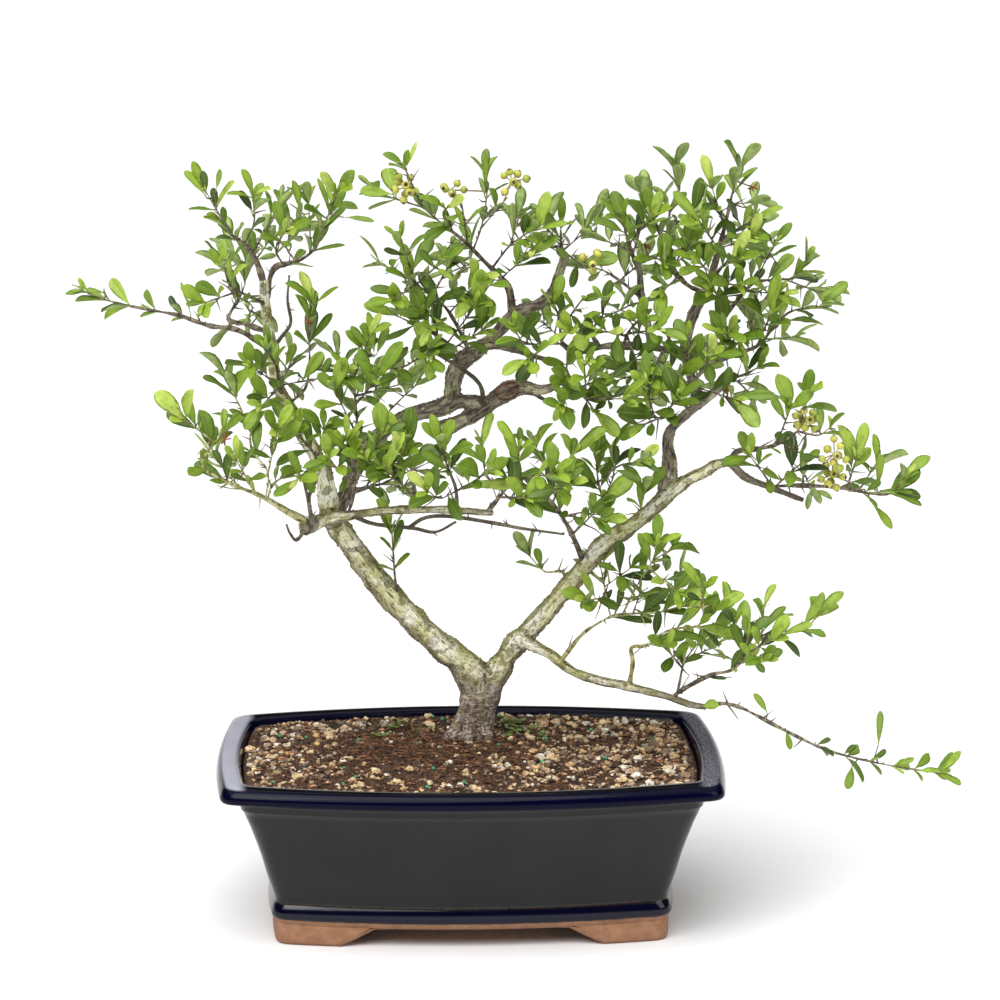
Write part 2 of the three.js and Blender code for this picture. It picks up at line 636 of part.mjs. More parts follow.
// The pot: rim, neck, hollow-curved sides, a raised band, four bracket feet and two drain holes
function makePot() {
  const wall = [
    [31.6, FOOT_HEIGHT], [30.4, 17], [30.4, 24.5], [31.8, 27], [24.4, 58], [12.6, 91], [11.4, 98.5],
    [1, 99.5], [0, 102], [0.8, POT_HEIGHT], [14.5, POT_HEIGHT], [16.2, 98], [20, 86], [38.5, 29],
    [41, FLOOR_TOP],
  ];
  const shell = solid(loft(wall.map(([inset, z]) => outline(inset, z))));
  const block = solid(loft([outline(FOOT_INSET, 0), outline(FOOT_INSET - 0.4, 15)]));
  const underside = FOOT_INSET + FOOT_RIM;
  const recess = solid(loft([outline(underside, -1), outline(underside, FOOT_HEIGHT)]));
  let feet = block.subtract(recess);
  feet = feet.subtract(solid(archPrism(LONG_ARCH)));
  feet = feet.subtract(solid(archPrism(SHORT_ARCH).rotateZ(Math.PI / 2)));
  let pot = shell.add(feet);
  for (const side of [-1, 1]) {
    const drain = new THREE.CylinderGeometry(DRAIN_RADIUS, DRAIN_RADIUS, 24, 8).rotateX(Math.PI / 2);
    pot = pot.subtract(solid(drain.translate(side * DRAIN_SPACING, 0, 18)));
  }
  return pot;
}

// A square plastic screen with four openings, lying over a drain hole
function makeScreen(side) {
  const block = (width, height, x, y) => {
    const box = new THREE.BoxGeometry(width, width, height);
    return solid(box.translate(side * DRAIN_SPACING + x, y, FLOOR_TOP + CLEARANCE + SCREEN_THICKNESS / 2));
  };
  const step = SCREEN_SIDE / 4;
  let screen = block(SCREEN_SIDE, SCREEN_THICKNESS, 0, 0);
  for (const [x, y] of [[-step, -step], [step, -step], [step, step], [-step, step]]) {
    screen = screen.subtract(block(SCREEN_HOLE, 3 * SCREEN_THICKNESS, x, y));
  }
  return screen;
}

// The height of the soil, mounded to the trunk and rough with grit
function soilHeight(x, y, share) {
  const mound = SOIL_MOUND * (1 - share ** 2);
  const grit = Math.sin(0.31 * x + 1.3 * Math.sin(0.23 * y)) * Math.sin(0.37 * y + 1.1 * Math.sin(0.19 * x));
  return SOIL_EDGE + mound + GRIT_RELIEF * grit * Math.min(1, 5 * (1 - share));
}

function makeSoil(trunkSpace) {
  const sides = [[41.5, FLOOR_TOP + CLEARANCE], [19.4, 90], [16.8, SOIL_EDGE]];
  const rings = sides.map(([inset, z]) => outline(inset, z));
  const edge = rings[rings.length - 1];
  for (const share of [0.9, 0.74, 0.56, 0.36, 0.15]) {
    rings.push(edge.map((point) => {
      const x = point.x * share;
      const y = point.y * share;
      return new THREE.Vector3(x, y, soilHeight(x, y, share));
    }));
  }
  let soil = solid(loft(rings)).subtract(trunkSpace);
  for (const side of [-1, 1]) {
    const width = SCREEN_SIDE + 2 * CLEARANCE;
    const height = 2 * (SCREEN_THICKNESS + 2 * CLEARANCE);
    const pocket = new THREE.BoxGeometry(width, width, height);
    soil = soil.subtract(solid(pocket.translate(side * DRAIN_SPACING, 0, FLOOR_TOP)));
  }
  return soil;
}

// A round stem along a route of points, with a radius at each point and flat facets
function stem(points, radii, sides, swell = 0) {
  const rings = [];
  let across = new THREE.Vector3(0, 0, 1);
  points.forEach((point, i) => {
    const from = points[Math.max(0, i - 1)];
    const to = points[Math.min(points.length - 1, i + 1)];
    const heading = to.clone().sub(from).normalize();
    if (i === 0 && Math.abs(heading.z) > 0.8) {
      across = new THREE.Vector3(0, 1, 0);
    }
    across = across.clone().addScaledVector(heading, -across.dot(heading)).normalize();
    const aside = heading.clone().cross(across);
    const radius = radii[i] + swell / Math.cos(Math.PI / sides);
    const past = (from === point ? -swell : 0) + (to === point ? swell : 0);
    const middle = point.clone().addScaledVector(heading, past);
    const ring = [];
    for (let j = 0; j < sides; j += 1) {
      const angle = (2 * Math.PI * j) / sides;
      const out = across.clone().multiplyScalar(Math.cos(angle)).addScaledVector(aside, Math.sin(angle));
      ring.push(middle.clone().addScaledVector(out, radius));
    }
    rings.push(ring);
  });
  return solid(loft(rings));
}

// How many sides a limb has, from its radius
function sidesFor(radius) {
  if (radius > 4.5) {
    return 7;
  }
  return radius > 2.2 ? 5 : 3;
}

// The trunk with its limbs and its root flare, as one piece of wood
function makeWood(swell) {
  const [footX, footY] = TRUNK_FOOT;
  const base = [[84, 9], [104, 9.5], [116, 11], [131, 12.4], [141, 10.5]];
  const pieces = [stem(
    base.map(([z]) => new THREE.Vector3(footX + 1, footY, z)),
    base.map(([, radius]) => radius), 8, swell,
  )];
  for (const [bearing, reach, radius] of ROOTS) {
    const angle = THREE.MathUtils.degToRad(bearing);
    const steps = [[0.2, 130, 0.8], [0.55, 114, 1], [0.85, 103, 0.95], [1.1, 92, 0.5]];
    pieces.push(stem(
      steps.map(([share, z]) => new THREE.Vector3(
        footX + share * reach * Math.cos(angle), footY + share * reach * Math.sin(angle), z,
      )),
      steps.map(([, , share]) => share * radius), 5, swell,
    ));
  }
  for (const limb of Object.values(LIMBS)) {
    pieces.push(stem(limb.map(vector), limb.map((point) => point[3]), sidesFor(limb[0][3]), swell));
  }
  return wasm.Manifold.union(pieces);
}

// The point nearest to a given one on a set of routes
function nearestOn(routes, target) {
  let best = null;
  let least = Infinity;
  for (const route of routes) {
    for (let i = 0; i + 1 < route.length; i += 1) {
      const line = new THREE.Line3(route[i], route[i + 1]);
      const share = THREE.MathUtils.clamp(line.closestPointToPointParameter(target, true), 0.15, 0.85);
      const point = line.at(share, new THREE.Vector3());
      const distance = point.distanceTo(target);
      if (distance < least) {
        least = distance;
        best = point;
      }
    }
  }
  return best;
}

// The point and heading at a share of a route's length
function along(route, share) {
  const lengths = route.slice(1).map((point, i) => point.distanceTo(route[i]));
  let left = share * lengths.reduce((sum, length) => sum + length, 0);
  let i = 0;
  while (i + 1 < lengths.length && left > lengths[i]) {
    left -= lengths[i];
    i += 1;
  }
  const heading = route[i + 1].clone().sub(route[i]).normalize();
  return { point: route[i].clone().addScaledVector(heading, left), heading };
}

const routeLength = (route) => route.slice(1).reduce((sum, point, i) => sum + point.distanceTo(route[i]), 0);

// A direction that leaves a heading at a splay, turned about it by an azimuth, both in degrees
function splayed(heading, splay, azimuth) {
  const across = new THREE.Vector3(heading.y, -heading.x, 0.001).normalize();
  const aside = heading.clone().cross(across);
  const turn = THREE.MathUtils.degToRad(azimuth);
  const open = THREE.MathUtils.degToRad(splay);
  const out = across.multiplyScalar(Math.cos(turn)).addScaledVector(aside, Math.sin(turn));
  return heading.clone().multiplyScalar(Math.cos(open)).addScaledVector(out, Math.sin(open));
}

// Where the leaves of a twig sit, how they point and which way they face. They crowd together at nodes,
// and the first of the list is nearest to the tip
function leafSites(route, isStem, random) {
  const bare = isStem ? 0.4 : 0.25;
  const count = Math.max(4, Math.round(((1 - bare) * routeLength(route)) / LEAF_SPACING) + 2);
  const phase = 360 * random();
  const sites = [];
  for (let i = 0; i < count; i += 1) {
    const fromTip = count - 1 - i;
    const step = i + 0.8 * (fromTip % LEAVES_PER_NODE);
    const share = lerp(bare, 1, (step / (count - 1)) ** 0.8);
    const { point, heading } = along(route, share);
    const azimuth = phase + GOLDEN_ANGLE * i + 30 * (random() - 0.5);
    const splay = lerp(68, 34, share) + 22 * (random() - 0.5);
    const direction = splayed(heading, splay, azimuth);
    direction.z += 0.22;
    direction.normalize();
    const face = new THREE.Vector3(0.5 * (random() - 0.5), 0.5 * (random() - 0.5), 0.65);
    face.addScaledVector(heading, 0.55);
    face.y += THREE.MathUtils.clamp((point.y - 25) / 70, -0.8, 0.8);
    face.addScaledVector(direction, -face.dot(direction)).normalize();
    const length = lerp(...LEAF_LENGTH, random());
    sites.push({ point, direction, face, length, width: length * lerp(...LEAF_WIDTH, random()) });
  }
  return sites.toReversed();
}

// The rings of a leaf: broadest past the middle, a blunt end, and a keel below its midrib
function leafRings({ point, direction, face, length, width }, swell = 0) {
  const aside = direction.clone().cross(face);
  const [breadth, end] = LEAF_SHAPE.map(([share, half]) => {
    const droop = LEAF_DROOP * length * share * share;
    const corner = (side, height) => point.clone()
      .addScaledVector(direction, share * length)
      .addScaledVector(aside, side)
      .addScaledVector(face, height - droop);
    const reach = half * width + swell;
    return [corner(reach, swell), corner(0, -LEAF_THICKNESS - swell), corner(-reach, swell)];
  });
  return [breadth, [end[0], end[2], end[2]]];
}

// A three-sided ring that lies as a leaf lies
function footRing(point, { direction, face }, radius) {
  const aside = direction.clone().cross(face);
  return [[0.87, 0.5], [0, -1], [-0.87, 0.5]].map(([side, height]) => point.clone()
    .addScaledVector(aside, side * radius)
    .addScaledVector(face, height * radius));
}

// A leaf with its foot sunk in a stem, or only what lies past a share of its length
function leaf(blade, from = 0, swell = 0) {
  const foot = blade.point.clone().addScaledVector(blade.direction, from * blade.length);
  return solid(loft([footRing(foot, blade, LEAF_FOOT_RADIUS + swell), ...leafRings(blade, swell)]));
}

// A twig that ends in a leaf
function leafyTwig(route, radii, blade) {
  const rings = route.map((point, i) => footRing(point, blade, radii[i]));
  return solid(loft([...rings, ...leafRings(blade)]));
}

// A thorn: a thin spike that stands out from a stem
function thorn(route, share, random) {
  const { point, heading } = along(route, share);
  const out = new THREE.Vector3(random() - 0.5, random() - 0.5, random() - 0.3);
  out.addScaledVector(heading, -out.dot(heading)).normalize().addScaledVector(heading, 0.4).normalize();
  const tip = point.clone().addScaledVector(out, THORN_LENGTH);
  return stem([point, tip], [THORN_RADIUS, 0], 3);
}

// Pieces that stand already, each with its box and its owner, so that others keep clear of them
const standing = [];

function boxOf(body) {
  const { min, max } = body.boundingBox();
  return new THREE.Box3(vector(min), vector(max));
}

function stand(owner, body) {
  standing.push({ owner, body, box: boxOf(body) });
}

function isClear(owner, body) {
  const box = boxOf(body);
  return standing.every((other) => other.owner === owner || !other.box.intersectsBox(box)
    || body.intersect(other.body).isEmpty());
}

// Whether a blade clears the other nodes and, past its foot, the stems and leaves of its own spray
function fits(owner, blade) {
  const whole = leaf(blade, 0, CLEARANCE);
  const outer = leaf(blade, OUTER_BLADE);
  const box = boxOf(whole);
  return standing.every((other) => !other.box.intersectsBox(box)
    || (other.owner === owner ? outer : whole).intersect(other.body).isEmpty());
}

// The largest of the separate bodies in a solid, without loose scraps and edges too short to matter
function largest(body) {
  const clean = solid(geometryOf(body.simplify(SMALLEST_EDGE)));
  const [main, ...scraps] = clean.decompose().sort((a, b) => b.volume() - a.volume());
  const lost = scraps.reduce((sum, scrap) => sum + scrap.volume(), 0);
  if (lost > 0.02 * main.volume()) {
    console.warn(`a loose ${lost.toFixed(0)} cubic millimetres next to ${main.volume().toFixed(0)}`);
  }
  return main;
}

// A spray's stem and twigs, each with its route, its radii and the sites of its leaves
function makeTwigs(name, routes, index, woodSpace) {
  const random = seededRandom(1000 + index);
  const twigs = [];
  routes.forEach((points, order) => {
    const isStem = order === 0;
    const stems = twigs.map(({ route }) => route);
    const route = points.map(vector);
    route[0].copy(nearestOn(isStem ? LIMB_ROUTES : stems, route[0]));
    const baseRadius = isStem ? points[0][3] : TWIG_START_RADIUS;
    const radii = route.map((_, i) => lerp(baseRadius, TWIG_TIP_RADIUS, i / (route.length - 1)));
    const body = stem(route, radii, baseRadius > 1.9 ? 4 : 3);
    const sites = leafSites(route, isStem, random);
    const thornShare = 0.2 + 0.5 * random();
    const isThorny = order % THORN_STEP === THORN_STEP - 1;
    const spikes = isThorny ? [thorn(route, thornShare, random)] : [];
    twigs.push({ route, radii, sites, isStem, spikes, body });
  });
  const wood = wasm.Manifold.union(twigs.flatMap(({ body, spikes }) => [body, ...spikes]));
  if (!isClear(name, wood.subtract(woodSpace))) {
    console.warn(`${name} touches another spray`);
  }
  stand(name, wood);
  return { name, twigs };
}

// A spray with its leaves. Each twig ends in one, and along the stem, from each few sites, grows
// the first whose leaf fits
function makeSpray({ name, twigs }, woodSpace) {
  const pieces = [];
  for (const { route, radii, sites, isStem, spikes, body } of twigs) {
    const tip = route[route.length - 1];
    const last = sites.slice(0, LEAF_STEP).map((site) => ({ ...site, point: tip }));
    const end = last.find((site) => fits(name, site));
    pieces.push(...spikes);
    if (end) {
      stand(name, leaf(end));
    }
    if (end && !isStem) {
      pieces.push(leafyTwig(route, radii, end));
    } else {
      pieces.push(body, ...(end ? [leaf(end)] : []));
    }
    for (let i = 1; isStem && i < sites.length; i += LEAF_STEP) {
      const site = sites.slice(i, i + LEAF_STEP).find((place) => fits(name, place));
      if (site) {
        const blade = leaf(site);
        stand(name, blade);
        pieces.push(blade);
      }
    }
  }
  return largest(wasm.Manifold.union(pieces).subtract(woodSpace));
}

// A bunch of berries: a stalk from the spray to the middle, and a short foot for each berry
function makeBunch(name, { middle, count }, stems, index) {
  const random = seededRandom(2000 + index);
  const centre = vector(middle);
  const start = nearestOn(stems, centre);
  const heading = centre.clone().sub(start).normalize();
  const foot = start.clone().addScaledVector(heading, TWIG_RADIUS + CLEARANCE);
  const pieces = [stem([foot, centre], [STALK_RADIUS, STALK_RADIUS], 3)];
  for (let i = 0; i < count; i += 1) {
    const height = 1 - (1.5 * (i + 0.5)) / count;
    const turn = THREE.MathUtils.degToRad(GOLDEN_ANGLE * i);
    const spread = Math.sqrt(1 - height * height);
    const out = new THREE.Vector3(spread * Math.cos(turn), spread * Math.sin(turn), height);
    const place = centre.clone().addScaledVector(out, 6 + 2.5 * random());
    const berry = solid(new THREE.IcosahedronGeometry(BERRY_RADIUS, 0).translate(...place.toArray()));
    pieces.push(berry, stem([centre, place], [0.7 * STALK_RADIUS, STALK_RADIUS], 3));
  }
  const body = largest(wasm.Manifold.union(pieces));
  if (!isClear(name, body)) {
    console.warn(`${name} touches a spray`);
  }
  stand(name, body);
  return body;
}

// Finishes: the colours seen from a step away
const finish = (color, roughness) => new THREE.MeshStandardMaterial({ color, roughness, metalness: 0 });
const glaze = finish(0x14141f, 0.15);
const grit = finish(0x6b4a33, 0.95);
const bark = finish(0x8f8a66, 0.85);
const plastic = finish(0x1c1c1c, 0.6);
const leafGreen = finish(0x5f9130, 0.45);
const berryGreen = finish(0xb5b54a, 0.4);

// The whole planting
const planting = new THREE.Group();

function place(name, body, material) {
  const mesh = new THREE.Mesh(geometryOf(body), material);
  mesh.name = name;
  planting.add(mesh);
}

const woodSpace = makeWood(CLEARANCE);
const pot = largest(makePot());
const soil = largest(makeSoil(makeWood(2 * CLEARANCE)));
place("pot", pot, glaze);
place("soil", soil, grit);
place("drain_screen_left", makeScreen(-1), plastic);
place("drain_screen_right", makeScreen(1), plastic);
place("trunk", largest(makeWood(0)), bark);
stand("pot", pot);
stand("soil", soil);

const sprays = Object.entries(SPRAYS).map(([name, routes], index) => makeTwigs(name, routes, index, woodSpace));
const bunches = Object.entries(BUNCHES).map(([name, bunch], index) => {
  const { twigs } = sprays.find((spray) => spray.name === bunch.spray);
  const stems = twigs.map(({ route }) => route);
  return [name, makeBunch(name, bunch, stems, index)];
});
stand("trunk", woodSpace);
for (const spray of sprays) {
  place(spray.name, makeSpray(spray, woodSpace), leafGreen);
}
for (const [name, body] of bunches) {
  place(name, body, berryGreen);
}

// The origin goes under the middle of the whole
const part = new THREE.Group();
const middle = new THREE.Box3().setFromObject(planting).getCenter(new THREE.Vector3());
planting.position.set(-snap(middle.x), -snap(middle.y), 0);
part.add(planting);

export default part;
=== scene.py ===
# A firethorn bonsai in a glazed pot. Everything is measured in millimetres from under the middle of the
# pot, and set in its place in metres by place(). The pot's own place comes from its plain solid.
import math
import random

import bpy
import numpy as np
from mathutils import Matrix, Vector, kdtree, noise


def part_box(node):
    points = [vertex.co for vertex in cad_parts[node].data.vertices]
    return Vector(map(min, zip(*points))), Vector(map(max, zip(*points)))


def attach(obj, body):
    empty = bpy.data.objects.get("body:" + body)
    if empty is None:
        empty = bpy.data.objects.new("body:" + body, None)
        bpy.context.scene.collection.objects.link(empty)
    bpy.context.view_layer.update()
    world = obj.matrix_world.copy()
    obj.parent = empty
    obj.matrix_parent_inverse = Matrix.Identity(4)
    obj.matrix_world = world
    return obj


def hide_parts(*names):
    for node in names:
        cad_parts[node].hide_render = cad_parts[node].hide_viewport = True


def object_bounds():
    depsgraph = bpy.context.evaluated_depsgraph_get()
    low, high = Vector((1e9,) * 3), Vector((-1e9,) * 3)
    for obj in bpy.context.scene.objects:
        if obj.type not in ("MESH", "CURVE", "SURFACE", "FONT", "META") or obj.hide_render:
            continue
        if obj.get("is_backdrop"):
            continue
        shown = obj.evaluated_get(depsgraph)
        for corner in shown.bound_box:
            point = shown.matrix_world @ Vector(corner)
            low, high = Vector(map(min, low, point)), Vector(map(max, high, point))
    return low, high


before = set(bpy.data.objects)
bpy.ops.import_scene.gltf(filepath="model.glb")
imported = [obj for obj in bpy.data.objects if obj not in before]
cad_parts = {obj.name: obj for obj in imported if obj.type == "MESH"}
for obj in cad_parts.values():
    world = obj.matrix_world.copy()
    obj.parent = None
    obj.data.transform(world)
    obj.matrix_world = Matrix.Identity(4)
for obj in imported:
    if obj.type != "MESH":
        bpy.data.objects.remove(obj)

plain_low, plain_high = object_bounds()

# The pot: slip-cast stoneware in one piece, bowed on all four sides, with a rolled lip, a raised band and
# four bracket feet. It is dipped in a black glaze that breaks brown where it runs thin over an edge,
# and the feet are left bare.
pot_low, pot_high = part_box("pot")
pot_middle = (Vector(pot_low) + Vector(pot_high)) / 2
POT_HEIGHT = 108
RIM_HALF_WIDTH, RIM_HALF_DEPTH = 152.5, 91
CORNER_CUT = 8
FRONT_BOW, END_BOW = (13, 20), (4, 6)
FLOOR_TOP = 22
FOOT_INSET, FOOT_RIM = 31.8, 15
LONG_ARCH, SHORT_ARCH = (84, 58, 12), (34, 14, 12)
DRAIN_RADIUS, DRAIN_SPACING = 10, 62


def lerp(start, end, share):
    return start + (end - start) * share


def clamp(value, low, high):
    return min(max(value, low), high)


def tint(code):
    """A colour as light, from its web code"""
    parts = [int(code[i : i + 2], 16) / 255 for i in (0, 2, 4)]
    return (*(part / 12.92 if part < 0.04 else ((part + 0.055) / 1.055) ** 2.4 for part in parts), 1.0)


class Wire:
    """One output of a material's nodes, with arithmetic"""

    def __init__(self, socket):
        self.socket = socket

    @classmethod
    def node(cls, tree, kind, settings, sockets, output=0):
        made = tree.nodes.new("ShaderNode" + kind)
        for name, value in settings.items():
            if name == "stops":
                stops = made.color_ramp.elements
                while len(stops) < len(value):
                    stops.new(0.5)
                for stop, (position, colour) in zip(stops, value):
                    stop.position, stop.color = position, colour
            else:
                setattr(made, name, value)
        for name, value in sockets.items():
            cls.join(tree, value, made.inputs[name])
        return cls(made.outputs[output])

    @staticmethod
    def join(tree, value, socket):
        if isinstance(value, Wire):
            tree.links.new(value.socket, socket)
        else:
            socket.default_value = value

    def combine(self, other, operation, swapped=False):
        tree = self.socket.id_data
        kinds = {side.socket.type for side in (self, other) if isinstance(side, Wire)}
        if isinstance(other, (int, float)) and "RGBA" in kinds:
            other = (other, other, other, 1)
        elif isinstance(other, (int, float)) and "VECTOR" in kinds:
            other = (other, other, other)
        pair = (other, self) if swapped else (self, other)
        if "RGBA" in kinds:
            settings = {"data_type": "RGBA", "blend_type": operation}
            return self.node(tree, "Mix", settings, {0: 1.0, 6: pair[0], 7: pair[1]}, 2)
        kind = "VectorMath" if "VECTOR" in kinds else "Math"
        return self.node(tree, kind, {"operation": operation}, {0: pair[0], 1: pair[1]})

    def __add__(self, other):
        return self.combine(other, "ADD")

    def __radd__(self, other):
        return self.combine(other, "ADD", True)

    def __sub__(self, other):
        return self.combine(other, "SUBTRACT")

    def __rsub__(self, other):
        return self.combine(other, "SUBTRACT", True)

    def __mul__(self, other):
        return self.combine(other, "MULTIPLY")

    def __rmul__(self, other):
        return self.combine(other, "MULTIPLY", True)

    def blend(self, first, second):
        """The first colour where this value is 0, the second where it is 1"""
        sockets = {0: self, 6: first, 7: second}
        return self.node(self.socket.id_data, "Mix", {"data_type": "RGBA"}, sockets, 2)

    def between(self, low, high):
        """0 up to a low value, 1 from a high one, and smooth in between"""
        sockets = {"Value": self, "From Min": low, "From Max": high}
        settings = {"interpolation_type": "SMOOTHSTEP"}
        return self.node(self.socket.id_data, "MapRange", settings, sockets)


def start_material(name):
    """A new material with its tree and the place of every point, in millimetres"""
    made = bpy.data.materials.new(name)
    made.use_nodes = True
    tree = made.node_tree
    return made, tree, Wire.node(tree, "TexCoord", {}, {}, "Object") * 1000


def finish_material(made, **sockets):
    """Sets the sockets of the surface, named as they are but with _ for a space"""
    surface = made.node_tree.nodes["Principled BSDF"]
    for name, value in sockets.items():
        Wire.join(made.node_tree, value, surface.inputs[name.replace("_", " ")])


def cloud(tree, where, size, detail=4):
    """Soft random values from about 0.2 to 0.8, in patches of a size in millimetres"""
    sockets = {"Vector": where, "Scale": 1 / size, "Detail": detail, "Roughness": 0.55}
    return Wire.node(tree, "TexNoise", {}, sockets)


def mark(tree, name):
    """A value that the mesh carries at its points"""
    return Wire.node(tree, "Attribute", {"attribute_name": name}, {}, "Fac")


def relief(tree, height, depth, strength):
    """A bump from a height of 0 to 1 that stands for a depth in millimetres"""
    sockets = {"Strength": strength, "Distance": depth / 1000, "Height": height}
    return Wire.node(tree, "Bump", {}, sockets, "Normal")


def height_of(tree, where):
    return Wire.node(tree, "SeparateXYZ", {}, {0: where}, "Z")


def place(points):
    return (np.asarray(points, dtype=float) + (pot_middle.x * 1000, pot_middle.y * 1000, 0)) / 1000


class Shape:
    """Points and faces that are gathered into one piece, with named marks on the points"""

    def __init__(self):
        self.points, self.faces, self.looks, self.marks = [], [], [], {}

    def add(self, points, faces, look=0, **marks):
        first = len(self.points)
        self.points.extend(tuple(point) for point in points)
        self.faces.extend(tuple(first + corner for corner in face) for face in faces)
        self.looks.extend([look] * len(faces))
        for name, values in marks.items():
            column = self.marks.setdefault(name, [])
            column.extend([0.0] * (first - len(column)))
            column.extend([values] * len(points) if np.isscalar(values) else values)

    def mesh(self, name):
        mesh = bpy.data.meshes.new(name)
        mesh.from_pydata(place(self.points).tolist(), [], self.faces)
        mesh.polygons.foreach_set("material_index", self.looks)
        mesh.polygons.foreach_set("use_smooth", [True] * len(self.faces))
        for name, values in self.marks.items():
            values = list(values) + [0.0] * (len(self.points) - len(values))
            mesh.attributes.new(name, "FLOAT", "POINT").data.foreach_set("value", values)
        mesh.update()
        return mesh


def add_object(name, data):
    made = bpy.data.objects.new(name, data)
    bpy.context.scene.collection.objects.link(made)
    return made


def make_piece(name, mesh, slot, *materials):
    piece = add_object(name, mesh)
    for each in materials:
        mesh.materials.append(each)
    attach(piece, "root")
    return piece


def skin(rings, caps=True):
    """The points and faces over rings of points, each ring with the same number of points"""
    count = len(rings[0])
    faces = []
    for ring in range(len(rings) - 1):
        for j in range(count):
            here, after = ring * count + j, ring * count + (j + 1) % count
            faces.append((here, after, after + count, here + count))
    if caps:
        faces.append(tuple(range(count - 1, -1, -1)))
        faces.append(tuple(range((len(rings) - 1) * count, len(rings) * count)))
    return [point for ring in rings for point in ring], faces


def outline(inset, z, steps=22, corner_steps=6):
    """The plan of the pot at a height: four bowed sides with round corners"""
    rise = clamp(z / POT_HEIGHT, 0, 1)
    half_width, half_depth = RIM_HALF_WIDTH - inset, RIM_HALF_DEPTH - inset
    sides = []
    for side, (cos, sin) in enumerate([(1, 0), (0, 1), (-1, 0), (0, -1)]):
        half, away = (half_width, half_depth) if side % 2 == 0 else (half_depth, half_width)
        bow = lerp(*(FRONT_BOW if side % 2 == 0 else END_BOW), rise)
        reach = 1 - CORNER_CUT / half
        points = []
        for i in range(steps + 1):
            share = lerp(-reach, reach, i / steps)
            out = away + bow * (1 - share * share)
            points.append((cos * share * half + sin * out, sin * share * half - cos * out, z))
        sides.append((points, (cos * half + sin * away, sin * half - cos * away, z)))
    ring = []
    for side, (points, corner) in enumerate(sides):
        ring += points
        before, after = points[-1], sides[(side + 1) % 4][0][0]
        for i in range(1, corner_steps):
            t = i / corner_steps
            near, middle, far = (1 - t) ** 2, 2 * t * (1 - t), t * t
            ring.append(tuple(near * a + middle * b + far * c for a, b, c in zip(before, corner, after)))
    return ring


def circle(count):
    """Even points on a circle with a radius of 1"""
    turns = [2 * math.pi * i / count for i in range(count)]
    return [(math.cos(turn), math.sin(turn)) for turn in turns]


def applied(thing):
    """The mesh of an object with its modifiers applied"""
    return bpy.data.meshes.new_from_object(thing.evaluated_get(bpy.context.evaluated_depsgraph_get()))


def arch_height(distance, arch):
    """How far the underside of the feet is cut away at a distance from the middle of a side"""
    foot, crown, height = arch
    share = clamp((foot - abs(distance)) / (foot - crown), 0, 1)
    return height * share * share * (3 - 2 * share)


def band(height, rise, fall):
    """1 between two heights, with soft ends"""
    return height.between(*rise) * (1 - height.between(*fall))


def fire_glaze(name, shine):
    """Black glaze, navy on the lip and the ridge, brown on thin edges, a painted pale reflection on the tops
    of the end lips, and bare clay on the feet
    """
    glaze, tree, where = start_material(name)
    z = height_of(tree, where)
    pool, speck = cloud(tree, where, 26, 5), cloud(tree, where, 1.1, 2)
    coat = pool.between(0.35, 0.7).blend(tint("0a090a"), tint("141214"))
    lip = band(z, (96.5, 98.2), (107.2, 107.95))
    ridge = band(z, (16.4, 17.2), (24.4, 25.6))
    coat = (lip * 0.95 + ridge * 0.9).blend(coat, tint("03031c"))
    thin = band(z, (25.2, 25.9), (26.2, 27.4)) + band(z, (94.6, 95.5), (96.4, 97.6))
    coat = (thin * speck.between(0.3, 0.6) * 0.35).blend(coat, tint("55473f"))
    # Painted reflection: the tops of the end lips are painted a pale bluish grey, broken into specks on the
    # right end
    across = Wire.node(tree, "SeparateXYZ", {}, {0: where}, "X") - pot_middle.x * 1000
    right_reflection_cut = across.between(-20, 20) * (1 - speck.between(0.5, 0.62) * 0.75) * 0.8
    end_lip_reflection = (across * across).between(136 ** 2, 143 ** 2) * z.between(106.6, 107.8)
    end_lip_reflection = end_lip_reflection * (0.7 + pool * 0.3) * (1 - right_reflection_cut)
    coat = end_lip_reflection.blend(coat, tint("b0b0bd"))
    bare = 1 - (z + cloud(tree, where, 9, 3) * 1.2).between(16.5, 17.1)
    clay = cloud(tree, where, 6, 5).between(0.3, 0.7).blend(tint("8a6349"), tint("9c7458"))
    clay = (speck.between(0.6, 0.72) * 0.4).blend(clay, tint("7d5c48"))
    finish_material(
        glaze,
        Base_Color=bare.blend(coat, clay),
        Roughness=0.07 + speck * 0.05 + pool * 0.06 + bare * 0.72,
        Normal=relief(tree, pool + cloud(tree, where, 3.2, 3) * 0.3 + bare * speck * 0.4, 0.3, 0.3),
        Specular_IOR_Level=shine,
    )
    return glaze


glaze, lip_glaze = fire_glaze("glaze", 0.31), fire_glaze("lip_glaze", 0.1)
LIP_FOOT = 96.8
# The wall from its outer foot, over the lip and down to the floor: how far in from the rim, and how high
wall = [
    (32, 13), (31.6, 15.4), (30.8, 16.2), (30, 17.4), (29.6, 18.8), (29.7, 20.2), (30, 21.6), (30.4, 22.9),
    (30.9, 24.1), (31.4, 25.2), (31.9, 26), (32, 27.6), (31.2, 31), (29.4, 37), (26.9, 46), (24.2, 57),
    (21.2, 67), (17.6, 78), (14.6, 86), (13.4, 89.4), (12.5, 90.1), (12.2, 91), (11.9, 93.2), (11.1, 95.3),
    (9.4, 96.7), (6.4, 97.5), (2.6, 97.9), (0.9, 98.5), (0.1, 99.8), (0, 101.2), (0.4, 102.8), (1, 104.3),
    (1.8, 105.6), (2.9, 106.8), (4.4, 107.6), (7.5, 108), (11.5, 107.7), (13.4, 107.1), (14.6, 105.6),
    (16.2, 98), (20, 86), (29, 58), (38.2, 29.4), (39.4, 24.6), (43, FLOOR_TOP),
]
body = Shape()
body.add(*skin([outline(inset, z) for inset, z in wall]))
pot = make_piece("glazed_pot", body.mesh("glazed_pot"), "glaze")
drains = Shape()
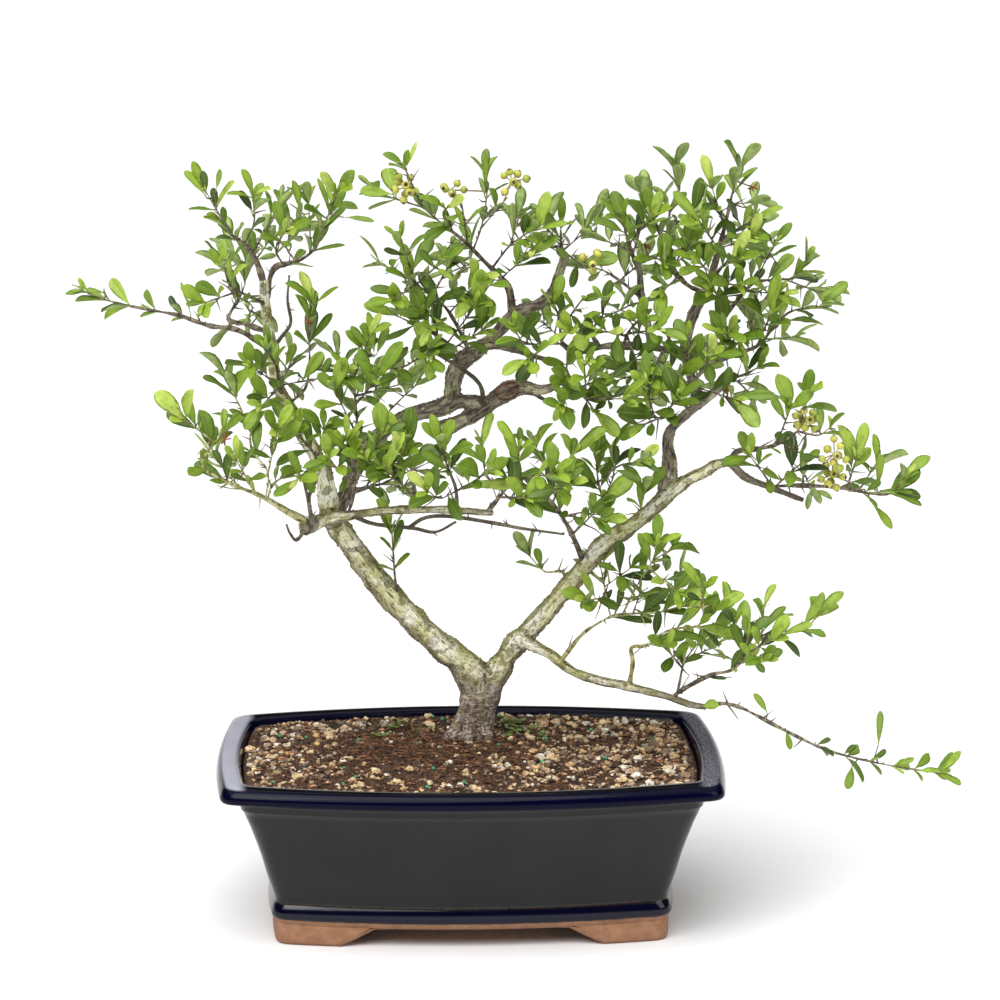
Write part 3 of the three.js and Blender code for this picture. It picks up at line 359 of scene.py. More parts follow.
for middle in (-DRAIN_SPACING, DRAIN_SPACING):
    drain = [(middle + DRAIN_RADIUS * x, DRAIN_RADIUS * y) for x, y in circle(32)]
    drains.add(*skin([[(x, y, z) for x, y in drain] for z in (5, 30)]))
cutter = add_object("drains", drains.mesh("drains"))
cut = pot.modifiers.new("drain_holes", "BOOLEAN")
cut.object, cut.solver = cutter, "EXACT"
drilled = applied(pot)
pot.modifiers.clear()
bpy.data.objects.remove(cutter)
pot.data = drilled
pot.data.materials.clear()
pot.data.materials.append(glaze)
pot.data.materials.append(lip_glaze)
for face in pot.data.polygons:
    face.material_index = int(face.center.z * 1000 > LIP_FOOT)
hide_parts("pot")

# The feet: the bare clay ring that the pot stands on, cut into four bracket feet by a low arch in the middle
# of each side. Each step goes round the ring's section: how far in, how high, and how much of the arch.
outer, inner = outline(FOOT_INSET, 0), outline(FOOT_INSET + FOOT_RIM, 0)
under = []
for x, y, _ in outer:
    is_end = abs(x) > RIM_HALF_WIDTH - FOOT_INSET - 7 and abs(y) < RIM_HALF_DEPTH - FOOT_INSET
    under.append(arch_height(y, SHORT_ARCH) if is_end else arch_height(x, LONG_ARCH))
steps = [
    (0.01, 15.4, 0), (0, 8, 0.4), (0, 2.6, 0.94), (0.02, 1, 1), (0.1, 0, 1), (0.94, 0, 1), (1, 1.2, 1),
    (1, 7, 0.5), (1, 14, 0),
]
feet = Shape()
feet.add(*skin([
    [
        (lerp(x, u, inward), lerp(y, v, inward), z + low * share)
        for (x, y, _), (u, v, _), low in zip(outer, inner, under)
    ]
    for inward, z, share in steps
], caps=False))
make_piece("bracket_feet", feet.mesh("bracket_feet"), "glaze", glaze)

# The drain screens: a square of black moulded plastic net over each hole in the pot's floor.
# Their plain solids have the right shape and stay.
net, tree, where = start_material("screen_plastic")
finish_material(
    net,
    Base_Color=cloud(tree, where, 5).blend(tint("0c0c0d"), tint("1b1b1c")),
    Roughness=0.5 + cloud(tree, where, 1.5) * 0.2,
    Normal=relief(tree, cloud(tree, where, 0.8), 0.1, 0.4),
)
for side in ("left", "right"):
    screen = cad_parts["drain_screen_" + side]
    screen.data.materials.clear()
    screen.data.materials.append(net)

# The soil: damp dark peat that fills the pot, pressed down at the wall, mounded to the trunk and higher at
# the back. Its rough top is one sheet that closes on the pot's floor.
SOIL_EDGE, SOIL_MOUND, GRIT_RELIEF = 99, 5, 1.7
SOIL_INSET, SOIL_END_BOW, SOIL_FRONT_BOW = 16.6, 6, 19
SOIL_RINGS = 84
TRUNK_FOOT = (5, 30)
chance = random.Random(7)


def bell(x, y, middle_x, middle_y, wide, deep):
    """1 at a middle, falling off around it"""
    return math.exp(-((x - middle_x) / wide) ** 2 - ((y - middle_y) / deep) ** 2)


def soil_height(x, y, share):
    """The top of the plain solid; the share is 0 in the middle of the pot and 1 at the wall"""
    mound = SOIL_MOUND * (1 - share ** 2)
    grit = math.sin(0.31 * x + 1.3 * math.sin(0.23 * y)) * math.sin(0.37 * y + 1.1 * math.sin(0.19 * x))
    return SOIL_EDGE + mound + GRIT_RELIEF * grit * min(1, 5 * (1 - share))


def peat_height(x, y, share):
    crumb = noise.fractal(Vector((x, y, 0)) / 5, 0.8, 2.1, 5)
    heap = bell(x, y, -42, 4, 46, 28) + 0.8 * bell(x, y, 5, 22, 30, 26)
    back = clamp((y - 5) / 70, 0, 1)
    filled = (1.2 + 3.6 * back * back * (3 - 2 * back)) * (1 - bell(x, y, *TRUNK_FOOT, 30, 30))
    top = soil_height(x, y, share) + filled
    return top + 1.9 * crumb * min(1, 12 * (1 - share)) + 2.6 * heap * min(1, 6 * (1 - share))


edge = outline(SOIL_INSET, SOIL_EDGE, SOIL_RINGS, 8)
rings = [outline(inset, z, SOIL_RINGS, 8) for inset, z in ((42, FLOOR_TOP + 0.3), (20, 88))]
for share in np.linspace(1, 0.01, SOIL_RINGS):
    rings.append([(x * share, y * share, peat_height(x * share, y * share, share)) for x, y, _ in edge])

peat, tree, where = start_material("peat")
lumps, crumbs = cloud(tree, where, 7, 6), cloud(tree, where, 1.3, 4)
earth = lumps.between(0.35, 0.65).blend(tint("150e09"), tint("463023"))
earth = (crumbs.between(0.46, 0.66) * 0.6).blend(earth, tint("7a5232"))
finish_material(
    peat,
    Base_Color=earth,
    Roughness=0.86 + crumbs * 0.1,
    Normal=relief(tree, crumbs + lumps * 0.5, 1.6, 0.9),
)
ground = Shape()
ground.add(*skin(rings))
soil = make_piece("peat_bed", ground.mesh("peat_bed"), "soil", peat)
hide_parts("soil")

# The top dressing: crushed stone and baked clay of 1 to 5 mm, tan, white, grey and rust, strewn on the peat
# by hand. It lies thick at the ends and along the wall, and thin on the peat heap left of the trunk.
STONES, STONE_SHAPE = 4200, ((0.8, 1.3), (0.75, 1.15), (0.55, 0.85))


def soil_share(x, y):
    """How far out a place is from the middle of the soil, from 0 to 1 at its edge"""
    half_width, half_depth = RIM_HALF_WIDTH - SOIL_INSET, RIM_HALF_DEPTH - SOIL_INSET
    share = max(abs(x) / half_width, abs(y) / half_depth)
    for _ in range(4):
        u, v = x / half_width / share, y / half_depth / share
        out_x = half_width + SOIL_END_BOW * (1 - min(1, v * v))
        out_y = half_depth + SOIL_FRONT_BOW * (1 - min(1, u * u))
        share = max(abs(x) / out_x, abs(y) / out_y)
    return share


def scatter(count, margin, clear):
    """Random places on the soil that keep off the wall and the trunk"""
    places = []
    while len(places) < count:
        x, y = chance.uniform(-140, 140), chance.uniform(-92, 92)
        share = soil_share(x, y)
        from_trunk = math.hypot(x - TRUNK_FOOT[0], y - TRUNK_FOOT[1])
        if share < 1 - margin and from_trunk > clear:
            places.append((x, y, peat_height(x, y, share)))
    return places


def ball(rings, segments):
    """Unit directions over a ball and the faces between them"""
    directions = [(0, 0, -1)]
    for i in range(1, rings):
        up, out = -math.cos(math.pi * i / rings), math.sin(math.pi * i / rings)
        for j in range(segments):
            turn = 2 * math.pi * (j + 0.5 * (i % 2)) / segments
            directions.append((out * math.cos(turn), out * math.sin(turn), up))
    directions.append((0, 0, 1))
    faces = []
    last = len(directions) - 1
    for j in range(segments):
        after = (j + 1) % segments
        faces.append((0, 1 + after, 1 + j))
        faces.append((last, last - segments + j, last - segments + after))
        for i in range(rings - 2):
            low, high = 1 + i * segments, 1 + (i + 1) * segments
            faces.append((low + j, low + after, high + after, high + j))
    return [Vector(direction) for direction in directions], faces


stone_points, stone_faces = ball(5, 7)


def stone_density(x, y):
    left = bell(x, y, -112, 22, 24, 60) + 0.8 * math.exp(-((y + 90) / 10) ** 2)
    right = 0.42 / (1 + math.exp(-(x - 34) / 10)) + 0.3 * math.exp(-((x - 128) / 14) ** 2)
    heap = bell(x, y, -40, -2, 44, 40)
    patch = 0.5 * noise.noise(Vector((x, y, 3)) / 16)
    return clamp(0.36 + 0.6 * left + 0.95 * right - 0.4 * heap + patch, 0.04, 1)


def ramp(factor, stops):
    """The colour at a value from 0 to 1, from stops that each have a place and a web code"""
    stops = [(at, tint(code)) for at, code in stops]
    return Wire.node(factor.socket.id_data, "ValToRGB", {"stops": stops}, {"Fac": factor})


dressing = Shape()
for x, y, z in scatter(STONES, 0.015, 14):
    if chance.random() > stone_density(x, y):
        continue
    size = clamp(chance.lognormvariate(0.24, 0.46), 0.55, 3.4)
    stretch = Vector([chance.uniform(*limits) for limits in STONE_SHAPE]) * size
    turn, shift = chance.uniform(0, 6.28), Vector((chance.random() * 99, x, y))
    cos, sin = math.cos(turn), math.sin(turn)
    points = []
    for direction in stone_points:
        lump = direction * (1 + 0.7 * noise.noise(direction * 1.6 + shift))
        u, v, w = lump.x * stretch.x, lump.y * stretch.y, lump.z * stretch.z
        points.append((x + cos * u - sin * v, y + sin * u + cos * v, z + w + 0.25 * size))
    dressing.add(points, stone_faces, tone=chance.random(), fine=chance.random())

stone, tree, where = start_material("stones")
tone, fine = mark(tree, "tone"), mark(tree, "fine")
colour = ramp(tone, [
    (0, "4b3425"), (0.14, "70543b"), (0.28, "9c7f5a"), (0.42, "c4a67a"), (0.56, "dfc89d"), (0.68, "cfa36a"),
    (0.76, "a1978a"), (0.84, "f1e9d8"), (0.92, "d8cdb8"), (0.97, "bd6a30"), (1, "77726a"),
])
grain = cloud(tree, where, 0.9, 5)
colour = (grain.between(0.5, 0.75) * 0.6).blend(colour, tint("fff6e2"))
colour = ((1 - cloud(tree, where, 2.2, 3).between(0.32, 0.5)) * 0.6).blend(colour, tint("4a3221"))
finish_material(stone, Base_Color=colour, Roughness=0.6 + fine * 0.25, Normal=relief(tree, grain, 0.4, 0.7))
stones = make_piece("stone_dressing", dressing.mesh("stone_dressing"), "soil", stone)
stones.data.polygons.foreach_set("use_smooth", [False] * len(stones.data.polygons))

# The feed: round pellets of slow plant food, each in a green resin skin. They are strewn on the stones by
# hand and lie loose.
PELLETS, PELLET_RADIUS, PELLET_RISE = 30, 1.35, 1.25
feed_points, feed_faces = ball(6, 10)
feed = Shape()
for x, y, z in scatter(PELLETS, 0.05, 20):
    points = []
    for way in feed_points:
        points.append((x + PELLET_RADIUS * way.x, y + PELLET_RADIUS * way.y, z + 1 + PELLET_RISE * way.z))
    feed.add(points, feed_faces, tone=chance.random())
pellet, tree, where = start_material("green_feed")
shade = cloud(tree, where, 1.4, 3).between(0.3, 0.7)
pale, deep = mark(tree, "tone").blend(tint("2f9a6a"), tint("58b98c")), tint("1c6b4c")
finish_material(pellet, Base_Color=shade.blend(deep, pale), Roughness=0.3 + shade * 0.2)
make_piece("feed_pellets", feed.mesh("feed_pellets"), "soil", pellet)

# The fibres: dry strands and flat bark chips of the peat mix, which stick out of its top. They lie thickest
# on the heap left of the trunk.
FIBRES, CHIPS = 5200, 900
UP = Vector((0, 0, 1))


def square_to(way, axis):
    """A unit vector square to an axis, as near to a direction as can be"""
    return (way - axis * way.dot(axis)).normalized()


def tube(path, radii, sides):
    """The rings of a round stem along a path"""
    path = [Vector(point) for point in path]
    heading = (path[1] - path[0]).normalized()
    across = Vector((0, 1, 0)) if abs(heading.z) > 0.8 else UP
    rings = []
    for i, point in enumerate(path):
        heading = (path[min(i + 1, len(path) - 1)] - path[max(i - 1, 0)]).normalized()
        across = square_to(across, heading)
        aside = heading.cross(across)
        rings.append([point + (across * cos + aside * sin) * radii[i] for cos, sin in circle(sides)])
    return rings


def add_tube(shape, path, radii, sides, look=0, **marks):
    shape.add(*skin(tube(path, radii, sides)), look, **marks)


fibres = Shape()
for x, y, z in scatter(FIBRES, 0.04, 11):
    near = bell(x, y, -30, 2, 62, 36)
    if chance.random() > 0.3 + 0.7 * near:
        continue
    turn, length = chance.uniform(0, 6.28), chance.uniform(3, 9) * (0.7 + 0.6 * near)
    bend, lift = chance.uniform(-0.9, 0.9), chance.uniform(0, 0.55) ** 2 * 2
    path, point = [], Vector((x, y, z + 0.2))
    for i in range(5):
        path.append(point.copy())
        angle = turn + bend * i / 2
        point += Vector((math.cos(angle), math.sin(angle), lift * (1 - i / 2.4))) * length / 4
    width = chance.uniform(0.16, 0.46)
    add_tube(fibres, path, [width, width, width, 0.8 * width, 0.3 * width], 3, tone=chance.random() ** 2)
for x, y, z in scatter(CHIPS, 0.04, 13):
    turn, length, width = chance.uniform(0, 6.28), chance.uniform(1.6, 6), chance.uniform(0.5, 1.4)
    ahead = Vector((math.cos(turn), math.sin(turn), chance.uniform(-0.2, 0.3)))
    start = Vector((x, y, z + 0.4)) - ahead * length / 2
    shares, sizes = (0, 0.1, 0.5, 0.9, 1), (0.5, 1, 1.1, 0.9, 0.4)
    rings = tube([start + ahead * length * share for share in shares], [width * size for size in sizes], 6)
    flat = [[(p.x, p.y, z + 0.4 + (p.z - z - 0.4) * 0.45) for p in ring] for ring in rings]
    fibres.add(*skin(flat), tone=chance.random())
fibre, tree, where = start_material("peat_fibre")
strand = mark(tree, "tone").blend(tint("24170e"), tint("a87650"))
streak = cloud(tree, where, 1.2, 3)
finish_material(fibre, Base_Color=(streak * 0.5).blend(strand, tint("452c1d")), Roughness=0.8 + streak * 0.15)
make_piece("peat_fibres", fibres.mesh("peat_fibres"), "soil", fibre)

# The roots and crumbs: fine dead roots that wind over the peat before and left of the trunk, among crumbs
# of peat.
ROOT_STARTS, CRUMBS = 1500, 1500
roots = Shape()
for x, y, z in scatter(ROOT_STARTS, 0.05, 10):
    near = bell(x, y, -36, 6, 48, 34) + 0.7 * bell(x, y, 14, -8, 30, 26)
    if chance.random() > near:
        continue
    turn, bend = chance.uniform(0, 6.28), chance.uniform(-0.5, 0.5)
    path, point, step = [], Vector((x, y, z)), chance.uniform(1.2, 3)
    for i in range(9):
        path.append(point.copy())
        turn, bend = turn + bend, bend + chance.uniform(-0.35, 0.35)
        point += Vector((math.cos(turn), math.sin(turn), 0.55 * math.sin(i * 0.9 + x))) * step
        share = soil_share(point.x, point.y)
        if share > 0.95:
            break
        point.z = max(point.z, peat_height(point.x, point.y, share) + 0.2)
    if len(path) > 3:
        width = chance.uniform(0.18, 0.42)
        widths = [lerp(width, 0.12, i / len(path)) for i in range(len(path))]
        add_tube(roots, path, widths, 4, tone=chance.random())
crumb_points, crumb_faces = ball(4, 6)
for x, y, z in scatter(CRUMBS, 0.02, 12):
    size, shift = chance.uniform(0.5, 1.5), Vector((x, y, 5))
    lumps = [way * (1 + 0.7 * noise.noise(way * 1.5 + shift)) * size for way in crumb_points]
    points = [(x + lump.x, y + lump.y, z + 0.3 + 0.8 * lump.z) for lump in lumps]
    roots.add(points, crumb_faces, tone=0.55 * chance.random())
make_piece("roots_and_crumbs", roots.mesh("roots_and_crumbs"), "soil", fibre)

# The moss: short green tufts in a few loose patches behind and beside the trunk. Each patch has its middle,
# its half width and its half depth.
MOSS_PATCHES = [
    (78, 93, 15, 6), (58, 86, 9, 6), (-50, 58, 12, 9), (-30, 50, 8, 7), (118, 70, 8, 8), (26, 44, 9, 7),
]
MOSS_TRIES = 30000
moss = Shape()
for x, y, z in scatter(MOSS_TRIES, 0.015, 9):
    thick_here = sum(bell(x, y, *patch) for patch in MOSS_PATCHES)
    if chance.random() > 0.55 * thick_here * (0.4 + noise.noise(Vector((x, y, 0)) / 2.5)):
        continue
    out = Vector((chance.gauss(0, 0.5), chance.gauss(0, 0.5), 1)) * chance.uniform(0.8, 2.2)
    foot = Vector((x, y, z + 0.1))
    add_tube(moss, [foot, foot + out * 0.6, foot + out], [0.34, 0.42, 0.1], 4, tone=chance.random())
tuft, tree, where = start_material("moss")
hue = mark(tree, "tone").blend(tint("3f4a17"), tint("93a344"))
finish_material(
    tuft,
    Base_Color=(cloud(tree, where, 4) * 0.5).blend(hue, tint("5f5a26")),
    Roughness=0.7 + cloud(tree, where, 1) * 0.2,
)
make_piece("moss_tufts", moss.mesh("moss_tufts"), "leaf", tuft)

# The seedlings: self-sown weeds with two small leaves on a thread of a stem, in clumps near the trunk. Each
# clump has its middle and its number of plants.
SEEDLINGS = [
    (24, 57, 4), (31, 50, 5), (38, 40, 4), (27, 34, 5), (45, 30, 3), (34, 60, 3), (-44, 52, 3), (-56, 30, 2),
]
SEED_LEAF = [(0, 0.08), (0.3, 0.62), (0.65, 0.75), (0.9, 0.5), (1, 0.15)]
weeds = Shape()
for x, y, count in SEEDLINGS:
    for i in range(count):
        turn = 2.4 * i + x
        u, v = x + 3 * math.cos(turn), y + 3 * math.sin(turn)
        foot = Vector((u, v, peat_height(u, v, soil_share(u, v))))
        head = foot + Vector((chance.gauss(0, 1.2), chance.gauss(-0.6, 1.2), chance.uniform(2, 5)))
        bend = (foot + head) / 2 + Vector((0.4, 0, 0.3))
        add_tube(weeds, [foot, bend, head], [0.22, 0.2, 0.2], 4, tone=0.1)
        size, lean = chance.uniform(2, 3.3), chance.uniform(0.2, 1)
        for side in (0, 3.1):
            aim = turn + side
            ahead = Vector((math.cos(aim), math.sin(aim), 0.35 * lean))
            aside = Vector((-math.sin(aim), math.cos(aim), 0))
            sheet = []
            for share, half in SEED_LEAF:
                row = []
                for at, lift in ((-1, 0), (0, 0.12), (1, 0), (0, -0.12)):
                    spot = head + (ahead * share * 1.5 + aside * half * at) * size
                    row.append(spot + Vector((0, 0, lift - 0.3 * half * at * at)))
                sheet.append(row)
            weeds.add(*skin(sheet), tone=chance.uniform(0.3, 1))
weed, tree, where = start_material("seedling_leaf")
hue = mark(tree, "tone").blend(tint("6d5a3c"), tint("7da344"))
finish_material(
    weed,
    Base_Color=(cloud(tree, where, 2) * 0.4).blend(hue, tint("4c6b2a")),
    Roughness=0.45 + cloud(tree, where, 1) * 0.2,
)
make_piece("seedlings", weeds.mesh("seedlings"), "leaf", weed)

# The trunk and its limbs: living firethorn wood, forked low and trained with wire, with old cuts healed
# over. The bark is thin: grey and wrinkled at the base, olive and cream with dark warts along the limbs,
# with painted shade along the top and the underside of each limb.
# A limb is a list of middle points, each with its radius.
LIMBS = {
    "left_trunk": [
        (7, 30, 131, 11.5), (2, 30, 147, 10.5), (-7, 28, 159, 9), (-20, 26, 170, 8.3), (-37, 23, 188, 7.9),
        (-53, 20, 206, 7.6), (-64, 18, 221, 7.4), (-77, 15, 241, 7.2), (-86, 14, 256, 6.6),
        (-89, 16, 277, 5.4), (-95, 18, 292, 4.8), (-105, 20, 310, 4.6), (-114, 21, 326, 4.2),
        (-120, 22, 344, 3.6), (-122, 22, 364, 3.3), (-125, 22, 384, 3.1), (-126, 22, 402, 2.9),
    ],
    "right_trunk": [
        (9, 30, 131, 10), (14, 30, 142, 8.6), (20, 29, 152, 7.2), (26, 27, 163, 6.6), (36, 25, 175, 6.2),
        (53, 22, 195, 5.9), (64, 19, 209, 5.8), (75, 16, 224, 6), (83, 13, 234, 6.4), (97, 10, 245, 5.6),
        (109, 8, 254, 4.9), (119, 6, 264, 5), (129, 5, 273, 4.8), (137, 4, 279, 3.9), (146, 3, 283, 3.3),
        (153, 2, 288, 3.2), (161, 1, 290, 3),
    ],
    "front_limb": [
        (-104, 0, 249, 4.3), (-96, 4, 252, 4.3), (-88, 8, 254, 4), (-73, -1, 258, 3), (-55, -8, 262, 2.7),
        (-35, -14, 264, 2.6), (-12, -20, 265, 2.3), (14, -26, 264, 2.1),
    ],
    "middle_limb": [
        (-85, 16, 252, 5.4), (-77, 22, 267, 4.6), (-70, 28, 283, 4.4), (-60, 33, 297, 4.4),
        (-47, 36, 308, 4.7), (-34, 36, 315, 5), (-17, 35, 319, 5.2), (-4, 34, 323, 4.6), (10, 32, 323, 3.4),
    ],
    "rising_limb": [
        (-17, 35, 319, 4.8), (-10, 35, 325, 4.8), (-9, 36, 336, 5.4), (-4, 36, 348, 5.2), (5, 36, 354, 5.2),
        (17, 36, 364, 3.8), (30, 36, 378, 4.2), (45, 37, 384, 3.4), (53, 38, 392, 2.9), (58, 38, 405, 3),
        (61, 38, 414, 2.2),
    ],
    "scar_limb": [
        (-20, 34, 304, 4.6), (-7, 35, 309, 5), (5, 34, 316, 5.3), (16, 31, 324, 5.3), (25, 28, 330, 5.4),
        (34, 25, 333, 4.6), (45, 22, 332, 3.2), (55, 20, 336, 2.7), (58, 18, 344, 2),
    ],
    "upper_limb": [
        (123, 7, 269, 5.4), (124, 9, 277, 5.2), (125, 11, 288, 4.8), (124, 14, 298, 3.8),
        (126, 17, 307, 3.3), (134, 20, 315, 3.1), (145, 24, 323, 2.9), (155, 27, 330, 2.7),
        (163, 30, 338, 2.5),
    ],
    "crown_limb": [
        (143, 24, 321, 2.8), (140, 30, 335, 3), (136, 34, 353, 3.2), (138, 36, 368, 3.3),
        (143, 36, 381, 3.3), (149, 36, 392, 3), (153, 34, 406, 2.4), (156, 32, 418, 1.9),
    ],
    "cross_limb": [
        (136, 34, 353, 2.6), (115, 30, 357, 2.5), (93, 27, 359, 2.5), (80, 25, 358, 1.9),
        (66, 24, 355, 1.7),
    ],
    "inner_limb": [
        (114, 30, 356, 2.3), (112, 32, 373, 2.2), (108, 34, 390, 2.5), (107, 35, 404, 2.1),
        (103, 35, 413, 1.8),
    ],
    "low_limb": [
        (35, 24, 172, 4), (42, 18, 169, 3.8), (52, 10, 165, 3.3), (65, 0, 157, 3), (81, -8, 153, 2.9),
        (97, -14, 151, 2.8), (110, -20, 149, 2.6), (122, -25, 147, 2.4), (136, -30, 143, 2.2),
        (146, -33, 142, 1.9),
    ],
    "rear_shoot": [
        (-121, 22, 359, 1.4), (-115, 30, 366, 1.2), (-110, 36, 373, 1.1), (-112, 44, 386, 0.9),
        (-111, 54, 400, 0.7),
    ],
    "elbow_shoot": [
        (-97, -1, 253, 1.6), (-99, -6, 270, 1.3), (-94, -10, 282, 0.8),
    ],
    "elbow_fork": [
        (-99, -5, 267, 1.1), (-102, -18, 283, 0.7),
    ],
    "dry_curl": [
        (-102, -2, 249, 1.2), (-107, -4, 243, 1.1), (-111, -6, 248, 0.9), (-113, -8, 254, 0.7),
    ],
    "lower_twig": [
        (-70, -3, 257, 1.5), (-58, 0, 252, 1.3), (-35, 2, 249, 1.2), (-21, 4, 246, 1), (-8, 6, 252, 0.8),
    ],
    "lower_twig_rear": [
        (-38, 2, 249, 1.2), (-27, 14, 253, 1.3), (-11, 22, 252, 1.3), (17, 24, 247, 1.2), (34, 22, 244, 1),
        (60, 18, 241, 0.7),
    ],
    "scar_twig": [
        (39, 24, 331, 1.4), (50, 32, 323, 1.1), (67, 50, 314, 0.7),
    ],
    "dark_limb": [
        (4, 36, 354, 3.4), (14, 30, 359, 2.8), (27, 24, 358, 2.4), (38, 18, 355, 1.9), (54, 12, 351, 1.3),
    ],
    "right_stub": [
        (161, 1, 290, 2.6), (172, 6, 279, 2.4), (183, 8, 274, 2.2), (194, 6, 270, 2), (208, 2, 265, 1.7),
    ],
    "arch_twig": [
        (10, 32, 323, 1.5), (7, 22, 336, 1.4), (-4, 14, 347, 1.2), (-24, 8, 360, 0.9),
    ],
}
ROOTS = [(198, 21, 6), (246, 17, 5.5), (300, 17, 5), (40, 12, 5), (128, 19, 6)]
TRUNK_BASE = [(84, 9), (104, 9.5), (116, 11), (131, 12.4), (141, 10.5)]
# Limbs that start thicker than the first value are melted into one body with the base and the roots
FINEST_MELTED, VOXEL = 2.0, 0.0009
LIGHT_LIMBS = ("left_trunk", "right_trunk", "front_limb", "low_limb", "elbow_shoot")
BURLS = [(Vector((-25, 16, 177)), 6, 1.8), (Vector((12, 24, 152)), 8, 2.4), (Vector((25, 22, 174)), 6, 1.8)]
CREASES = [(272, 3), (222, 1.6), (345, 1.6)]
SCAR_MIDDLE, SCAR_HALF_WIDTH, SCAR_HALF_HEIGHT = Vector((25, 24, 331)), 7.4, 4.2
SCAR_COS, SCAR_SIN, SCAR_DEPTH, FAR_FROM_SCAR = 0.92, 0.39, 6, 9.0


def smooth_path(points, step):
    """Evenly close points on a smooth curve through given ones, each of them (x, y, z, radius)"""
    given = [np.array(point, dtype=float) for point in points]
    given = [2 * given[0] - given[1], *given, 2 * given[-1] - given[-2]]
    path = []
    for before, start, end, after in zip(given, given[1:], given[2:], given[3:]):
        count = max(1, round(float(np.linalg.norm((end - start)[:3])) / step))
        for i in range(count):
            t = i / count
            path.append(0.5 * (
                2 * start + (end - before) * t + (2 * before - 5 * start + 4 * end - after) * t * t
                + (3 * start - before - 3 * end + after) * t ** 3
            ))
    return [*path, given[-2]]


def any_way(source, rise, forward=0):
    """A random direction, before it is made a unit long"""
    return Vector((source.gauss(0, 1), source.gauss(forward, 1), source.gauss(rise, 1)))


def trace(points, step, sides, wobble=0.0):
    """A stem through points, with its rings, and for each ring the length so far and the radius"""
    path = smooth_path(points, step)
    radii = []
    for x, y, z, radius in path:
        radii.append(radius * (1 + wobble * noise.noise(Vector((x, y, z)) / 9)))
    rings = tube([point[:3] for point in path], radii, sides)
    lengths = [0.0]
    for start, end in zip(path, path[1:]):
        lengths.append(lengths[-1] + float(np.linalg.norm((end - start)[:3])))
    return rings, lengths, radii


base = [(TRUNK_FOOT[0] + 1, TRUNK_FOOT[1], z, radius) for z, radius in TRUNK_BASE]
roots = []
for bearing, reach, radius in ROOTS:
    cos, sin = math.cos(math.radians(bearing)), math.sin(math.radians(bearing))
    steps = [(0.2, 130, 0.8), (0.55, 114, 1), (0.85, 103, 0.95), (1.1, 92, 0.5)]
    roots.append([
        (TRUNK_FOOT[0] + share * reach * cos, TRUNK_FOOT[1] + share * reach * sin, z, size * radius)
        for share, z, size in steps
    ])
thick, thin = Shape(), Shape()
spine = []
wood = [("base", base), *(("root", root) for root in roots), *LIMBS.items()]
for name, route in wood:
    is_thick = route[0][3] > FINEST_MELTED
    dusk = 0.0 if name in ("base", "root", *LIGHT_LIMBS) else 1.0
    rings, lengths, radii = trace(route, 2, 20 if is_thick else 10, 0.16)
    points, faces = skin(rings)
    if is_thick:
        thick.add(points, faces)
    else:
        around = circle(10)
        thin.add(
            points, faces,
            bark_x=[radius * cos for radius in radii for cos, _ in around],
            bark_y=[radius * sin for radius in radii for _, sin in around],
            bark_z=[length for length in lengths for _ in around],
            girth=[radius for radius in radii for _ in around], dusk=dusk,
        )
        for spur in range(round(lengths[-1] / 9)):
            i = chance.randrange(2, len(rings) - 1)
            start = sum(rings[i], Vector()) / len(rings[i])
            end = start + any_way(chance, 0.2).normalized() * chance.uniform(2.5, 7)
            add_tube(thin, [start, start.lerp(end, 0.6), end], [0.55, 0.4, 0.15], 5, girth=0.5, dusk=1.0)
    for i, ring in enumerate(rings):
        middle = sum(ring, Vector()) / len(ring)
        ahead = sum(rings[min(i + 1, len(rings) - 1)], Vector()) / len(ring)
        behind = sum(rings[max(i - 1, 0)], Vector()) / len(ring)
        spine.append((middle, (ahead - behind).normalized(), lengths[i], radii[i], dusk))

rough = add_object("rough_wood", thick.mesh("rough_wood"))
melt = rough.modifiers.new("melt", "REMESH")
melt.mode, melt.voxel_size, melt.use_smooth_shade = "VOXEL", VOXEL, True
soften = rough.modifiers.new("soften", "SMOOTH")
soften.factor, soften.iterations = 0.5, 5
melted = applied(rough)
bpy.data.objects.remove(rough)

